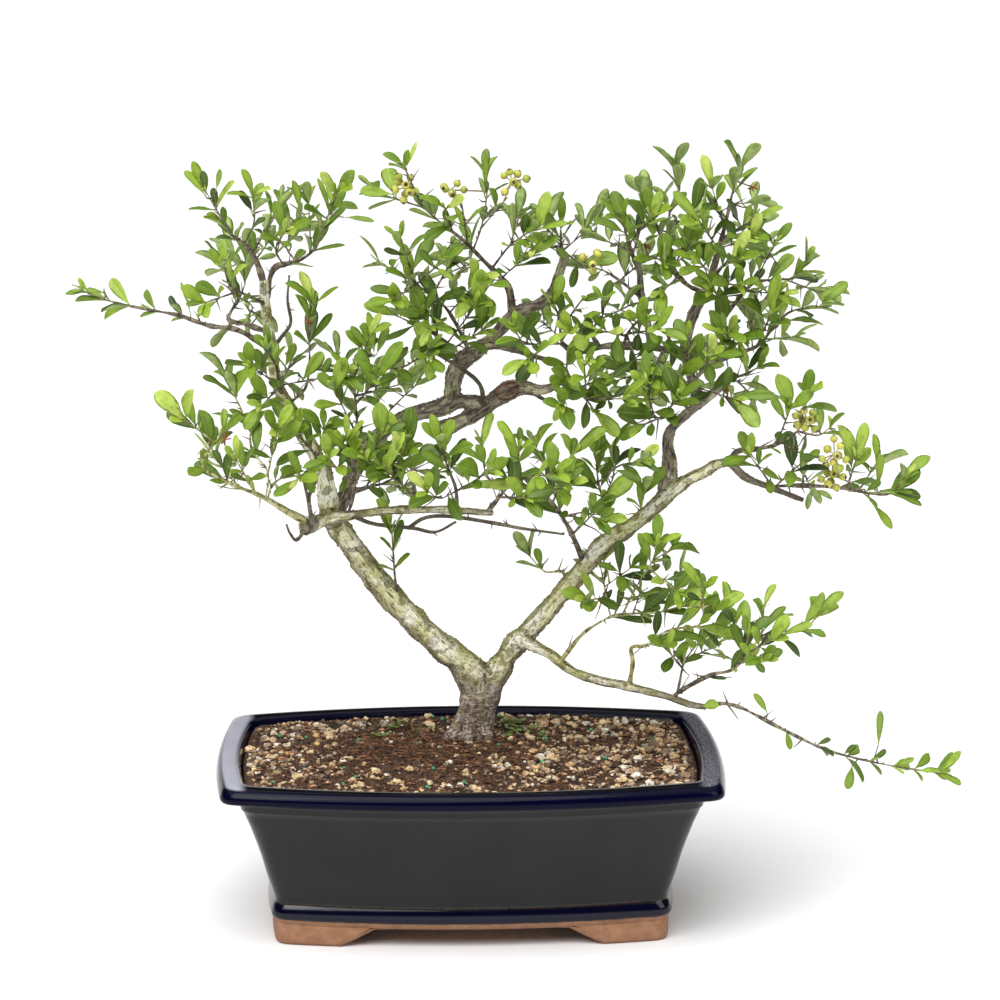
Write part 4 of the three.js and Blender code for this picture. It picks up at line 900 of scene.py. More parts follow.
points = np.empty(len(melted.vertices) * 3)
melted.vertices.foreach_get("co", points)
points = points.reshape(-1, 3) * 1000 - (pot_middle.x * 1000, pot_middle.y * 1000, 0)
normals = np.empty(len(melted.vertices) * 3)
melted.vertices.foreach_get("normal", normals)
normals = normals.reshape(-1, 3)
tree_of_spine = kdtree.KDTree(len(spine))
for i, (middle, *_) in enumerate(spine):
    tree_of_spine.insert(middle, i)
tree_of_spine.balance()
marks = {name: [] for name in ("bark_x", "bark_y", "bark_z", "girth", "dusk", "scar", "crust")}
moved = []
for point, normal in zip(points, normals):
    place_of = Vector(point)
    near = tree_of_spine.find_n(place_of, 5)
    middle, heading, length, radius, _ = spine[near[0][1]]
    dusk = sum(spine[index][4] for _, index, _ in near) / 5
    out = place_of - middle
    length += out.dot(heading)
    out = square_to(out, heading)
    across = square_to(Vector((0, 1, 0)) if abs(heading.z) > 0.8 else UP, heading)
    cos, sin = out.dot(across), out.dot(heading.cross(across))
    bark = Vector((radius * cos, radius * sin, length))
    # How far the bark faces up, 1 on top of a limb and -1 below it: it lifts flakes on both sides, and the
    # bark's colour uses it for painted shade
    crust = out.dot(square_to(UP, heading)) if abs(heading.z) < 0.97 else 0.0
    off = place_of - SCAR_MIDDLE
    tilted = Vector((off.x * SCAR_COS + off.z * SCAR_SIN, off.z * SCAR_COS - off.x * SCAR_SIN))
    scar = math.hypot(tilted.x / SCAR_HALF_WIDTH, tilted.y / SCAR_HALF_HEIGHT)
    if abs(off.y) >= SCAR_DEPTH:
        scar = FAR_FROM_SCAR
    for name, value in zip(marks, (*bark, radius, dusk, scar, crust)):
        marks[name].append(value)
    age = clamp((175 - place_of.z) / 60, 0, 1)
    wrinkle = noise.fractal(Vector((place_of.x / 4.2, place_of.y / 4.2, place_of.z / 1.5)), 0.9, 2, 3)
    fold = noise.noise(Vector((bark.x, bark.y, 0.25 * bark.z)) / 4)
    wart = max(0, noise.noise(Vector((bark.x, bark.y, 1.6 * bark.z)) / 1.6 + Vector((9, 9, 9))) - 0.22)
    ridge = max(0, noise.noise(Vector((1.2 * bark.x, 1.2 * bark.y, 0.22 * bark.z)) / 3.4) - 0.1)
    lump = noise.noise(place_of / 12)
    rise = age * (0.45 * wrinkle + 0.7 * fold) + (1 - age) * (2.1 * wart + 1.3 * ridge) + 0.7 * lump
    flake = noise.noise(Vector((bark.x, bark.y, 0.5 * bark.z)) / 2)
    rise += (1 - age) * 1.5 * clamp(abs(crust) - 0.6, 0, 1) * flake
    rise *= clamp(radius / 6, 0.3, 1)
    bearing = math.degrees(math.atan2(place_of.y - TRUNK_FOOT[1], place_of.x - TRUNK_FOOT[0])) % 360
    for fork, depth in CREASES:
        rise -= depth * math.exp(-((bearing - fork) / 9) ** 2) * clamp((122 - place_of.z) / 14, 0, 1)
    rise += 1.2 * math.exp(-((scar - 1) / 0.2) ** 2) - 3 * math.exp(-((scar / 0.78) ** 6))
    for burl, size, height in BURLS:
        swell = math.exp(-((place_of - burl).length / size) ** 2)
        rise += height * swell * (1 + 1.2 * noise.noise(place_of / 2.2))
    moved.append(place_of + Vector(normal) * rise)
melted.vertices.foreach_set("co", place([tuple(point) for point in moved]).ravel())
for name, values in marks.items():
    melted.attributes.new(name, "FLOAT", "POINT").data.foreach_set("value", values)
thin.marks["scar"] = [FAR_FROM_SCAR] * len(thin.points)
thin.marks["crust"] = [0.0] * len(thin.points)
melted.update()

bark, tree, where = start_material("bark")
z = height_of(tree, where)
marks = [mark(tree, name) for name in ("bark_x", "bark_y", "bark_z")]
girth = mark(tree, "girth")


def bark_cloud(around, along, detail=4):
    """Soft patches on the bark with one size around the limb and one along it"""
    sockets = {"X": marks[0] * (along / around), "Y": marks[1] * (along / around), "Z": marks[2]}
    return cloud(tree, Wire.node(tree, "CombineXYZ", {}, sockets), along, detail)


dusk, scar = mark(tree, "dusk"), mark(tree, "scar")
old = 1 - (z + (bark_cloud(9, 14) - 0.5) * 50).between(124, 166)
young = 1 - girth.between(1.2, 3.4)
patch, streaks, warts = bark_cloud(6, 22, 5), bark_cloud(1.3, 9, 5), bark_cloud(2.4, 1.2, 3)
colour = patch.between(0.38, 0.6).blend(tint("c0be86"), tint("e8e4ba"))
colour = (cloud(tree, where, 15, 4).between(0.48, 0.6) * 0.85).blend(colour, tint("f8f5e6"))
colour = ((1 - streaks.between(0.36, 0.47)) * 0.7).blend(colour, tint("99994e"))
# Painted shade: the top and the underside of each limb are painted darker, olive above and brown below, so
# that a limb looks dark along its edges and light in the middle
facing_up_mottled = mark(tree, "crust") + (patch - 0.5) * 1.2
colour = (facing_up_mottled.between(0.5, 0.85) * 0.8).blend(colour, tint("7c783c"))
underside_shade = streaks.between(0.4, 0.6).blend(tint("5d4c38"), tint("9d9070"))
colour = ((1 - facing_up_mottled.between(-0.85, -0.35)) * 0.85).blend(colour, underside_shade)
moss = cloud(tree, where, 8, 6)
colour = (moss.between(0.54, 0.6) * 0.7).blend(colour, tint("6a6534"))
# The dark speckles are the bark's own, but they are painted denser on the top and the underside as shade
top_and_bottom = facing_up_mottled.between(0.2, 0.75) + (1 - facing_up_mottled.between(-0.75, -0.1))
cracks = 1 - streaks.between(0.31, 0.37)
colour = (cracks * 0.8).blend(colour, tint("54461f"))
speckled = bark_cloud(1.1, 2.2, 2).between(0.585, 0.625) * (0.45 + top_and_bottom * 0.55)
colour = (speckled * 0.9).blend(colour, tint("352b12"))
dark = streaks.between(0.38, 0.6).blend(tint("4d433a"), tint("9a8f7e"))
dark = (patch.between(0.48, 0.62) * 0.6).blend(dark, tint("bdb49c"))
dark = (speckled * 0.7).blend(dark, tint("2d2620"))
colour = (dusk * (0.35 + moss.between(0.35, 0.5) * 0.65)).blend(colour, dark)
wrinkled = streaks.between(0.4, 0.6).blend(tint("87746a"), tint("c6b7aa"))
furrows = cloud(tree, where * (0.35, 0.35, 1.0), 1.1, 4)
wrinkled = ((1 - furrows.between(0.4, 0.56)) * 0.85).blend(wrinkled, tint("43322a"))
wrinkled = (moss.between(0.54, 0.64) * 0.5).blend(wrinkled, tint("85854e"))
colour = old.blend(colour, wrinkled)
twiggy = patch.between(0.4, 0.6).blend(tint("544b3f"), tint("857c69"))
twiggy = (warts.between(0.52, 0.62) * 0.85).blend(twiggy, tint("352b22"))
colour = (young * 0.9).blend(colour, twiggy)
heart = streaks.between(0.35, 0.6).blend(tint("46382f"), tint("94826f"))
heart = ((1 - scar.between(0.15, 0.6)) * 0.65).blend(heart, tint("261c17"))
colour = (1 - scar.between(0.72, 0.84)).blend(colour, heart)
rim = scar.between(0.8, 0.9) * (1 - scar.between(1.0, 1.2))
colour = (rim * 0.9).blend(colour, streaks.between(0.42, 0.58).blend(tint("4a2d23"), tint("8d6450")))
finish_material(
    bark,
    Base_Color=colour,
    Roughness=0.66 + old * 0.2 + speckled * 0.1,
    Normal=relief(tree, warts * 0.8 + speckled * 1.2 + streaks * 1.6 + old * furrows * 1.9, 0.8, 0.95),
    Specular_IOR_Level=0.3,
)
limbs = make_piece("trunk_and_limbs", melted, "bark", bark)
melted.polygons.foreach_set("use_smooth", [True] * len(melted.polygons))
shoots = make_piece("bare_shoots", thin.mesh("bare_shoots"), "bark", bark)
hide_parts("trunk")

# The sprays: this year's and last year's shoots with their leaves, one piece for each that grows from a
# limb. A spray is a list of routes, its stem first, then its side twigs, each from the nearest stem.
# The stem's first point also has its radius.
SPRAYS = {
    "spray_top_left": [
        [(-126, 22, 401, 2.6), (-130, 20, 413), (-136, 14, 424), (-145, 8, 432), (-149, 4, 438)],
        [(-146, 8, 433), (-159, -10, 460)], [(-136, 14, 424), (-131, 6, 440), (-131, -12, 458)],
        [(-133, 17, 418), (-116, 54, 446)],
    ],
    "spray_top_left_inner": [
        [(-125, 22, 388, 2.3), (-120, 25, 408), (-108, 20, 413), (-100, 16, 417), (-93, 13, 424),
         (-90, 10, 433)],
        [(-115, 18, 410), (-118, 6, 423), (-112, -14, 436)], [(-99, 6, 419), (-98, 30, 449)],
        [(-90, -6, 435), (-80, -30, 461)], [(-108, 14, 413), (-112, 34, 421), (-107, 60, 431)],
    ],
    "spray_left_middle": [
        [(-123, 20, 386, 2), (-132, 12, 392), (-145, 0, 401), (-149, -10, 413)],
        [(-140, 4, 398), (-160, -24, 395)], [(-145, 0, 401), (-152, 30, 414)],
    ],
    "spray_left_rear": [
        [(-123, 24, 369, 2.1), (-138, 36, 372), (-149, 46, 374), (-143, 52, 385), (-139, 56, 394),
         (-138, 60, 408)],
        [(-143, 52, 385), (-135, 66, 379), (-138, 84, 368)], [(-138, 58, 403), (-150, 90, 414)],
        [(-139, 58, 400), (-123, 96, 418)],
    ],
    "spray_far_left": [
        [(-123, 20, 358, 2.2), (-131, 12, 366), (-143, 4, 374), (-159, 0, 377), (-177, -4, 384),
         (-190, -6, 387), (-208, -8, 391), (-225, -10, 396), (-233, -12, 400)],
    ],
    "spray_trunk_tuft": [
        [(-116, 20, 330, 2), (-117, 10, 339), (-118, -6, 352), (-123, -20, 365)],
        [(-117, 10, 339), (-133, -26, 356)], [(-117, 10, 339), (-80, -18, 349)],
        [(-116, 12, 337), (-126, -30, 333)], [(-117, 14, 337), (-110, 50, 347)],
    ],
    "spray_trunk_upright": [
        [(-113, 22, 325, 1.3), (-101, 16, 335), (-98, 6, 354), (-98, 2, 371), (-95, -6, 391)],
    ],
    "spray_left_low": [
        [(-97, 2, 253, 2.3), (-111, -6, 261), (-128, -14, 273), (-147, -22, 283), (-163, -30, 295),
         (-158, -32, 307), (-149, -34, 317)],
        [(-156, -32, 311), (-172, -56, 329)],
        [(-128, -14, 273), (-124, -12, 288), (-134, -8, 301), (-134, -4, 313), (-130, 2, 323)],
        [(-134, -4, 311), (-149, 20, 340)], [(-125, -12, 287), (-117, -44, 319)],
        [(-131, -16, 276), (-141, -52, 302)], [(-124, -12, 271), (-122, 2, 277), (-115, 20, 278)],
        [(-141, -20, 280), (-158, 18, 291)],
    ],
    "spray_elbow": [
        [(-91, 14, 286, 1.6), (-94, 2, 294), (-100, -16, 306), (-105, -30, 314)],
        [(-94, 2, 294), (-89, -24, 317)], [(-94, 2, 294), (-74, -34, 307)],
        [(-95, 2, 292), (-104, -32, 288)],
    ],
    "spray_dark": [
        [(-77, 21, 264, 1.7), (-70, 8, 285), (-69, 4, 311), (-70, 2, 330), (-71, 0, 346)],
        [(-71, 0, 345), (-61, -26, 374)], [(-71, 0, 346), (-57, -4, 350), (-40, -12, 353), (-25, -22, 365)],
        [(-70, 2, 330), (-42, 34, 334)], [(-70, 2, 327), (-56, -40, 351)], [(-69, 4, 309), (-82, -24, 340)],
        [(-70, 2, 335), (-81, 44, 350)],
    ],
    "spray_band_left": [
        [(-73, -1, 258, 1.6), (-71, -14, 277), (-72, -30, 296), (-75, -46, 314)],
        [(-71, -16, 280), (-54, -54, 318)], [(-71, -18, 282), (-86, -52, 303)],
        [(-71, -13, 275), (-59, -28, 283), (-63, -50, 301)],
        [(-64, -22, 280), (-49, -36, 291), (-42, -54, 305)],
    ],
    "spray_band_middle": [
        [(-34, -14, 264, 1.7), (-35, -22, 283), (-37, -34, 302), (-40, -48, 315)],
        [(-34, -16, 271), (-51, -58, 298)], [(-35, -21, 282), (-13, 10, 287)],
    ],
    "spray_band_front": [
        [(-8, -20, 264, 1.5), (-9, -32, 281), (-14, -48, 297), (-18, -62, 315)],
        [(-9, -31, 280), (-19, -48, 278), (-26, -66, 286)], [(-9, -32, 281), (10, -68, 298)],
    ],
    "spray_band_end": [
        [(12, -26, 265, 1.7), (19, -32, 277), (26, -42, 290), (29, -56, 309)],
        [(20, -33, 280), (10, -18, 287), (8, -4, 302)], [(25, -41, 289), (48, -74, 298)],
        [(18, -31, 275), (31, -68, 282)],
    ],
    "spray_hanging_shoot": [
        [(-43, 22, 195, 1.1), (-46, 12, 214), (-47, 6, 230), (-48, 0, 247)],
    ],
    "spray_rear_band": [
        [(-76, 24, 266, 1.7), (-66, 44, 266), (-53, 62, 265), (-40, 84, 259)],
        [(-66, 44, 266), (-52, 76, 283)], [(-53, 62, 265), (-23, 88, 274)],
        [(-60, 58, 275), (-54, 58, 302), (-57, 70, 323), (-61, 88, 333)],
        [(-54, 60, 307), (-41, 74, 318), (-32, 92, 323)],
    ],
    "spray_centre": [
        [(68, 16, 224, 2.4), (67, 6, 237), (60, -6, 253), (52, -18, 267), (43, -28, 277), (32, -40, 284)],
        [(52, -18, 267), (62, -34, 301)], [(64, 0, 244), (82, -28, 270)],
        [(57, -10, 258), (70, -26, 264), (79, -44, 263)], [(53, -20, 273), (42, 14, 298)],
        [(46, -25, 274), (58, -64, 290)],
    ],
    "spray_trunk_inner": [
        [(98, 10, 245, 1.6), (87, 0, 260), (80, -10, 277), (77, -24, 299)],
        [(84, -4, 269), (90, 8, 281), (90, 26, 292)], [(80, -11, 279), (91, -26, 293), (103, -44, 299)],
    ],
    "spray_trunk_bend": [
        [(102, 9, 248, 1.4), (106, -2, 260), (108, -10, 273)],
    ],
    "spray_trunk_side": [
        [(64, 19, 209, 1.3), (59, 22, 216), (48, 28, 215), (39, 38, 223)],
    ],
    "spray_crown_left": [
        [(2, 36, 352, 1.9), (-4, 30, 366), (-13, 22, 383), (-24, 12, 394), (-34, 2, 404)],
        [(-32, 3, 403), (-42, -24, 433)], [(-32, 3, 403), (-54, 34, 410)], [(-31, 4, 402), (-16, -30, 421)],
        [(-23, 13, 393), (-8, 48, 413)], [(-12, 22, 381), (4, -14, 404)], [(-23, 13, 393), (-23, -24, 380)],
        [(-31, 4, 402), (-46, -28, 397)],
    ],
    "spray_crown_fork": [
        [(-8, 36, 345, 1.7), (-12, 24, 360), (-20, 8, 370), (-28, -10, 383)],
        [(-12, 24, 360), (3, -16, 390)], [(-18, 12, 367), (-43, -6, 383)], [(-11, 27, 357), (8, -10, 375)],
        [(-15, 18, 363), (-24, -24, 361)],
    ],
    "spray_top_middle": [
        [(30, 36, 377, 2.8), (26, 34, 393), (20, 32, 402), (11, 30, 411), (-2, 24, 425), (-17, 16, 438),
         (-30, 8, 450)],
        [(-10, 20, 431), (-14, -12, 450)], [(-28, 9, 448), (-39, -12, 475)],
        [(-30, 8, 450), (-55, 32, 454)], [(-2, 24, 425), (-5, -8, 457)],
        [(3, 27, 419), (9, 30, 435), (12, 34, 452), (12, 38, 464)], [(8, 30, 432), (24, 10, 454)],
        [(15, 31, 407), (25, 26, 421), (33, 16, 429), (41, 2, 435)], [(25, 26, 421), (33, 58, 437)],
        [(20, 32, 402), (34, 0, 418)], [(18, 32, 402), (9, 0, 396)], [(10, 30, 411), (-9, 68, 400)],
    ],
    "spray_top_fork": [
        [(60, 38, 412, 2), (58, 30, 422), (57, 16, 435)], [(59, 34, 418), (80, 62, 430)],
        [(59, 31, 421), (40, 0, 424)], [(59, 33, 418), (74, 2, 409)], [(59, 31, 421), (47, 72, 431)],
    ],
    "spray_cross_end": [
        [(66, 24, 355, 1.7), (58, 16, 363), (56, 4, 378), (52, -12, 391)],
        [(58, 16, 363), (45, 4, 364), (33, -10, 367), (27, -26, 379)], [(56, 8, 372), (68, -26, 396)],
        [(61, 19, 360), (59, -20, 348)], [(49, 8, 363), (35, -30, 360)], [(58, 15, 365), (44, 56, 373)],
    ],
    "spray_cross_middle": [
        [(80, 25, 358, 1.6), (76, 14, 370), (82, 2, 381), (82, -14, 393)], [(77, 16, 367), (61, -24, 376)],
        [(81, 4, 379), (101, 34, 383)],
    ],
    "spray_cross_right": [
        [(97, 27, 359, 1.3), (99, 12, 370), (105, -8, 382)], [(98, 17, 367), (79, -26, 377)],
        [(99, 12, 370), (113, -30, 378)], [(98, 17, 367), (104, -22, 351)],
    ],
    "spray_scar_end": [
        [(56, 20, 336, 2), (65, 8, 336), (71, -6, 332), (76, -20, 327)], [(71, -6, 332), (69, -40, 358)],
        [(71, -6, 332), (92, -38, 337)], [(65, 8, 336), (56, -30, 332)], [(66, 6, 335), (87, 46, 336)],
    ],
    "spray_inner_top": [
        [(103, 35, 412, 1.8), (99, 24, 425), (94, 8, 441)], [(102, 33, 415), (112, 56, 439)],
        [(91, 28, 412), (81, 58, 423)], [(104, 35, 410), (113, 18, 416), (119, -2, 415)],
        [(99, 24, 425), (111, -12, 444)],
    ],
    "spray_inner_side": [
        [(108, 34, 389, 1.3), (97, 44, 396), (86, 54, 402), (77, 66, 403)], [(97, 44, 396), (111, 82, 403)],
    ],
    "spray_apex": [
        [(149, 36, 391, 2.5), (137, 42, 395), (128, 46, 407), (126, 48, 425), (127, 48, 442),
         (132, 46, 454), (130, 42, 468)],
        [(127, 48, 440), (114, 80, 446)], [(126, 48, 430), (145, 16, 446)],
        [(127, 47, 416), (114, 12, 436)], [(129, 45, 405), (137, 6, 425)], [(132, 44, 400), (120, 4, 397)],
        [(128, 46, 407), (144, 88, 424)],
    ],
    "spray_crown_top": [
        [(156, 32, 417, 1.9), (158, 30, 427), (161, 28, 441), (164, 26, 456), (168, 24, 469)],
        [(159, 29, 432), (149, 4, 460)], [(158, 30, 427), (174, 0, 441)], [(156, 32, 419), (172, -10, 431)],
        [(156, 32, 418), (142, -8, 439)], [(162, 27, 447), (179, 58, 444)],
        [(158, 30, 427), (181, 76, 424)],
    ],
    "spray_crown_front": [
        [(150, 36, 393, 1.6), (153, 16, 405), (158, -6, 416), (163, -22, 420)],
        [(153, 16, 405), (139, -22, 418)], [(151, 26, 400), (164, -12, 402)],
    ],
    "spray_crown_right": [
        [(139, 34, 356, 1.8), (153, 34, 360), (160, 34, 375), (172, 32, 391), (179, 30, 398),
         (191, 26, 400), (203, 22, 402), (209, 18, 412)],
        [(179, 30, 398), (187, 0, 425)], [(174, 31, 393), (185, 64, 415)], [(165, 33, 381), (149, -4, 398)],
        [(172, 32, 391), (191, 0, 395)], [(159, 34, 372), (166, 2, 367)], [(196, 25, 400), (219, 52, 389)],
        [(168, 33, 386), (186, 74, 371)],
    ],
    "spray_right_arch": [
        [(140, 32, 345, 1.7), (155, 30, 348), (172, 26, 355), (181, 22, 360), (191, 18, 373),
         (200, 14, 382), (217, 8, 386)],
        [(181, 22, 360), (185, -6, 383)], [(184, 21, 363), (205, 48, 360)],
        [(169, 26, 354), (157, -12, 372)], [(177, 24, 358), (179, 62, 373)],
    ],
    "spray_limb_tip": [
        [(163, 30, 338, 1.6), (172, 22, 341), (179, 12, 347)], [(164, 29, 338), (157, -4, 363)],
        [(166, 27, 339), (182, 58, 320)],
    ],
    "spray_limb_front": [
        [(146, 25, 325, 1.7), (142, 10, 337), (135, -10, 353), (130, -28, 370)],
        [(144, 18, 331), (133, 0, 335), (119, -18, 339), (110, -34, 346)], [(140, 4, 342), (146, -38, 363)],
        [(143, 13, 334), (160, -28, 335)],
    ],
    "spray_limb_left": [
        [(133, 20, 314, 1.6), (123, 4, 318), (113, -14, 319), (104, -28, 318)],
        [(115, -12, 320), (106, -42, 344)], [(119, -4, 319), (125, -44, 338)],
    ],
    "spray_limb_rear": [
        [(138, 22, 318, 1.6), (133, 40, 323), (127, 60, 329), (123, 82, 334)],
        [(133, 40, 323), (152, 80, 335)], [(127, 60, 329), (109, 92, 315)],
    ],
    "spray_cross_tip": [
        [(122, 31, 356, 1.2), (117, 18, 350), (106, 4, 346), (91, -8, 343)],
        [(118, 20, 352), (128, -14, 347)],
    ],
    "spray_right_upper": [
        [(161, 1, 290, 2.3), (166, -2, 297), (175, -6, 299), (183, -10, 301), (190, -14, 304),
         (200, -20, 312), (204, -24, 319)],
        [(202, -22, 315), (204, -48, 340)],
        [(191, -15, 305), (201, -26, 301), (210, -36, 300), (217, -48, 299)],
        [(200, -20, 312), (215, -8, 308), (224, 6, 310)], [(190, -14, 304), (193, -50, 332)],
    ],
    "spray_right_lower": [
        [(186, 8, 272, 1.6), (205, 4, 274), (222, 0, 274), (236, -4, 273), (249, -8, 271), (260, -12, 272),
         (267, -16, 282)],
        [(234, -3, 273), (236, -32, 297)], [(206, 4, 274), (210, 20, 278), (217, 38, 264)],
        [(191, 8, 273), (203, -26, 294)], [(241, -6, 272), (257, 28, 284)],
        [(184, 8, 274), (172, -22, 298)],
    ],
    "spray_low_inner": [
        [(57, 6, 162, 1.6), (70, 8, 178), (80, 6, 186), (90, 2, 192), (104, -4, 195), (117, -10, 197),
         (132, -18, 203)],
        [(89, 2, 192), (86, 8, 201), (85, 16, 209), (83, 26, 219)], [(86, 8, 201), (73, -22, 208)],
        [(95, -1, 194), (100, -8, 206), (106, -16, 220), (112, -24, 232), (114, -32, 243)],
        [(110, -21, 228), (125, -50, 220)], [(85, 16, 209), (100, -12, 226)],
        [(112, -24, 232), (128, 6, 234)], [(121, -12, 198), (133, 22, 208)],
        [(102, -4, 195), (109, 36, 199)],
    ],
    "spray_low_loop": [
        [(98, -15, 151, 1.8), (101, -18, 167), (100, -20, 177), (109, -26, 180), (119, -34, 190),
         (128, -40, 194), (139, -46, 197), (148, -52, 207)],
        [(137, -45, 197), (155, -10, 182)], [(142, -48, 201), (139, -74, 226)],
    ],
    "spray_low_middle": [
        [(123, -25, 146, 1.8), (135, -34, 156), (148, -42, 165), (159, -48, 169), (166, -52, 177),
         (169, -56, 193)],
        [(167, -53, 179), (180, -78, 195)],
        [(167, -54, 183), (180, -44, 188), (194, -36, 189), (206, -30, 190), (214, -24, 196)],
        [(165, -51, 174), (175, -82, 184)], [(168, -54, 186), (159, -26, 201)],
        [(178, -45, 188), (183, -10, 199)],
    ],
    "spray_low_thicket": [
        [(127, -27, 145, 1.3), (130, -20, 154), (133, -12, 164), (139, -6, 172)],
        [(133, -14, 162), (120, -38, 181)], [(135, -10, 166), (154, 20, 167)],
    ],
    "spray_trailing": [
        [(144, -33, 142, 1.7), (156, -36, 145), (166, -38, 143), (175, -40, 139), (194, -42, 129),
         (216, -42, 118), (236, -40, 111), (260, -38, 105), (280, -36, 101), (289, -34, 99)],
    ],
}
LEAF_LENGTH, LEAF_WIDTH = (12, 26), (0.36, 0.5)
LEAF_SPACING, LEAVES_PER_NODE, GOLDEN_ANGLE = 6, 3, 137.5
TWIG_START_RADIUS, TWIG_TIP_RADIUS = 0.75, 0.5
THORN_LENGTH, THORN_STEP = 11, 8
THORN_PROFILE = [(0, 0.6), (0.3, 0.42), (0.7, 0.25), (1, 0.04)]
# Half the width of a blade, as a share of its full width, at each share of its length
LEAF_STATIONS = [
    (0, 0.04), (0.1, 0.05), (0.22, 0.17), (0.4, 0.37), (0.58, 0.47), (0.75, 0.5), (0.88, 0.42),
    (0.965, 0.25), (1, 0.07),
]


def seeded_random(seed):
    """Numbers from 0 to 1 that are the same each time, and the same as those of the plain solids"""
    state, whole = seed, 0xFFFFFFFF

    def draw():
        nonlocal state
        state = (state + 0x6D2B79F5) & whole
        value = ((state ^ (state >> 15)) * (state | 1)) & whole
        value ^= (value + (((value ^ (value >> 7)) * (value | 61)) & whole)) & whole
        return (value ^ (value >> 14)) / 4294967296

    return draw


def nearest_on(routes, target):
    """The point on any of the routes that is nearest to a place"""
    best, least = None, math.inf
    for route in routes:
        for start, end in zip(route, route[1:]):
            line = end - start
            share = clamp((target - start).dot(line) / line.length_squared, 0.15, 0.85)
            point = start + line * share
            if (point - target).length < least:
                best, least = point, (point - target).length
    return best


def along(route, share):
    """The point at a share of a route's length, and the way that the route goes there"""
    lengths = [(end - start).length for start, end in zip(route, route[1:])]
    left, i = share * sum(lengths), 0
    while i + 1 < len(lengths) and left > lengths[i]:
        left -= lengths[i]
        i += 1
    heading = (route[i + 1] - route[i]).normalized()
    return route[i] + heading * left, heading


def splayed(heading, splay, azimuth):
    """A direction that leans off a heading by one angle, turned about it by another"""
    across = Vector((heading.y, -heading.x, 0.001)).normalized()
    turn, opened = math.radians(azimuth), math.radians(splay)
    out = across * math.cos(turn) + heading.cross(across) * math.sin(turn)
    return heading * math.cos(opened) + out * math.sin(opened)


def leaf_sites(route, is_stem, draw):
    """The leaves of a twig, by the plain solids' rule: foot, direction, face, length, width and share"""
    bare = 0.4 if is_stem else 0.25
    length = sum((end - start).length for start, end in zip(route, route[1:]))
    count = max(4, math.floor((1 - bare) * length / LEAF_SPACING + 0.5) + 2)
    phase = 360 * draw()
    sites = []
    for i in range(count):
        step = i + 0.8 * ((count - 1 - i) % LEAVES_PER_NODE)
        share = lerp(bare, 1, (step / (count - 1)) ** 0.8)
        point, heading = along(route, share)
        azimuth = phase + GOLDEN_ANGLE * i + 30 * (draw() - 0.5)
        splay = lerp(68, 34, share) + 22 * (draw() - 0.5)
        direction = splayed(heading, splay, azimuth)
        direction.z += 0.22
        direction.normalize()
        face = Vector((0.5 * (draw() - 0.5), 0.5 * (draw() - 0.5), 0.65)) + 0.55 * heading
        face.y += clamp((point.y - 25) / 70, -0.8, 0.8)
        face = square_to(face, direction)
        size = lerp(*LEAF_LENGTH, draw())
        sites.append((point, direction, face, size, size * lerp(*LEAF_WIDTH, draw()), share))
    return sites[::-1]


def hides_berries(point, direction, length):
    """Whether a leaf would grow through a bunch of berries or hang right in front of it"""
    for _, middle, _, _ in BUNCHES.values():
        for share in (0.2, 0.6, 1):
            off = point + direction * length * share - Vector(middle)
            if off.length < 12 or (off.y < 0 and math.hypot(off.x, off.z) < 10 and off.length < 45):
                return True
    return False


def add_leaf(shape, site, look, tone, size=1.0):
    """A thin blade on a short stalk, cupped along its midrib, drooping to its tip and a little twisted"""
    point, direction, face, length, width, _ = site
    length, width = length * size, width * size * look.uniform(0.66, 0.98)
    aside = direction.cross(face)
    droop, cup = look.uniform(-0.05, 0.28), look.uniform(0.1, 0.75)
    twist, sway = look.uniform(-0.35, 0.35), look.uniform(-0.06, 0.06)
    wave, phase = look.uniform(0.0, 0.03), look.uniform(0, 6.28)
    top, low, ribs, tips = [], [], [], []
    for share, half in LEAF_STATIONS:
        for side in (-1, -0.5, 0, 0.5, 1):
            out = side * half * width
            turn = twist * share
            lift = cup * abs(side) ** 1.25 * half * width - droop * length * share * share
            lift += wave * length * side * math.sin(phase + 9 * share)
            sideways = out * math.cos(turn) + sway * length * share ** 2
            spot = point + direction * share * length + aside * sideways
            spot = spot + face * (lift + out * math.sin(turn))
            depth = 0.22 + 0.3 * (1 - share) * (side == 0)
            top.append(spot + face * (depth * (abs(side) != 1)) * 0.5)
            low.append(spot - face * (depth * (abs(side) != 1)) * (1.4 if side == 0 else 0.5))
            ribs.append(abs(side))
            tips.append(share)
    points, faces = list(top), []
    lower = {}
    for i, spot in enumerate(low):
        if ribs[i] != 1:
            lower[i] = len(points)
            points.append(spot)
        else:
            lower[i] = i
    count = len(LEAF_STATIONS)
    for row in range(count - 1):
        for column in range(4):
            a, b = row * 5 + column, row * 5 + column + 1
            c, d = b + 5, a + 5
            faces += [(a, b, c, d), (lower[d], lower[c], lower[b], lower[a])]
    for row, flip in ((0, True), (count - 1, False)):
        for column in range(4):
            a, b = row * 5 + column, row * 5 + column + 1
            corners = (b, a, lower[a], lower[b]) if flip else (a, b, lower[b], lower[a])
            faces.append(tuple(dict.fromkeys(corners)))
    inner = [i for i in range(len(low)) if ribs[i] != 1]
    shape.add(
        points, faces, 0, tone=tone,
        rib=ribs + [ribs[i] for i in inner], tip=tips + [tips[i] for i in inner],
        under=[0.5 * (rib == 1) for rib in ribs] + [1.0] * len(inner),
    )


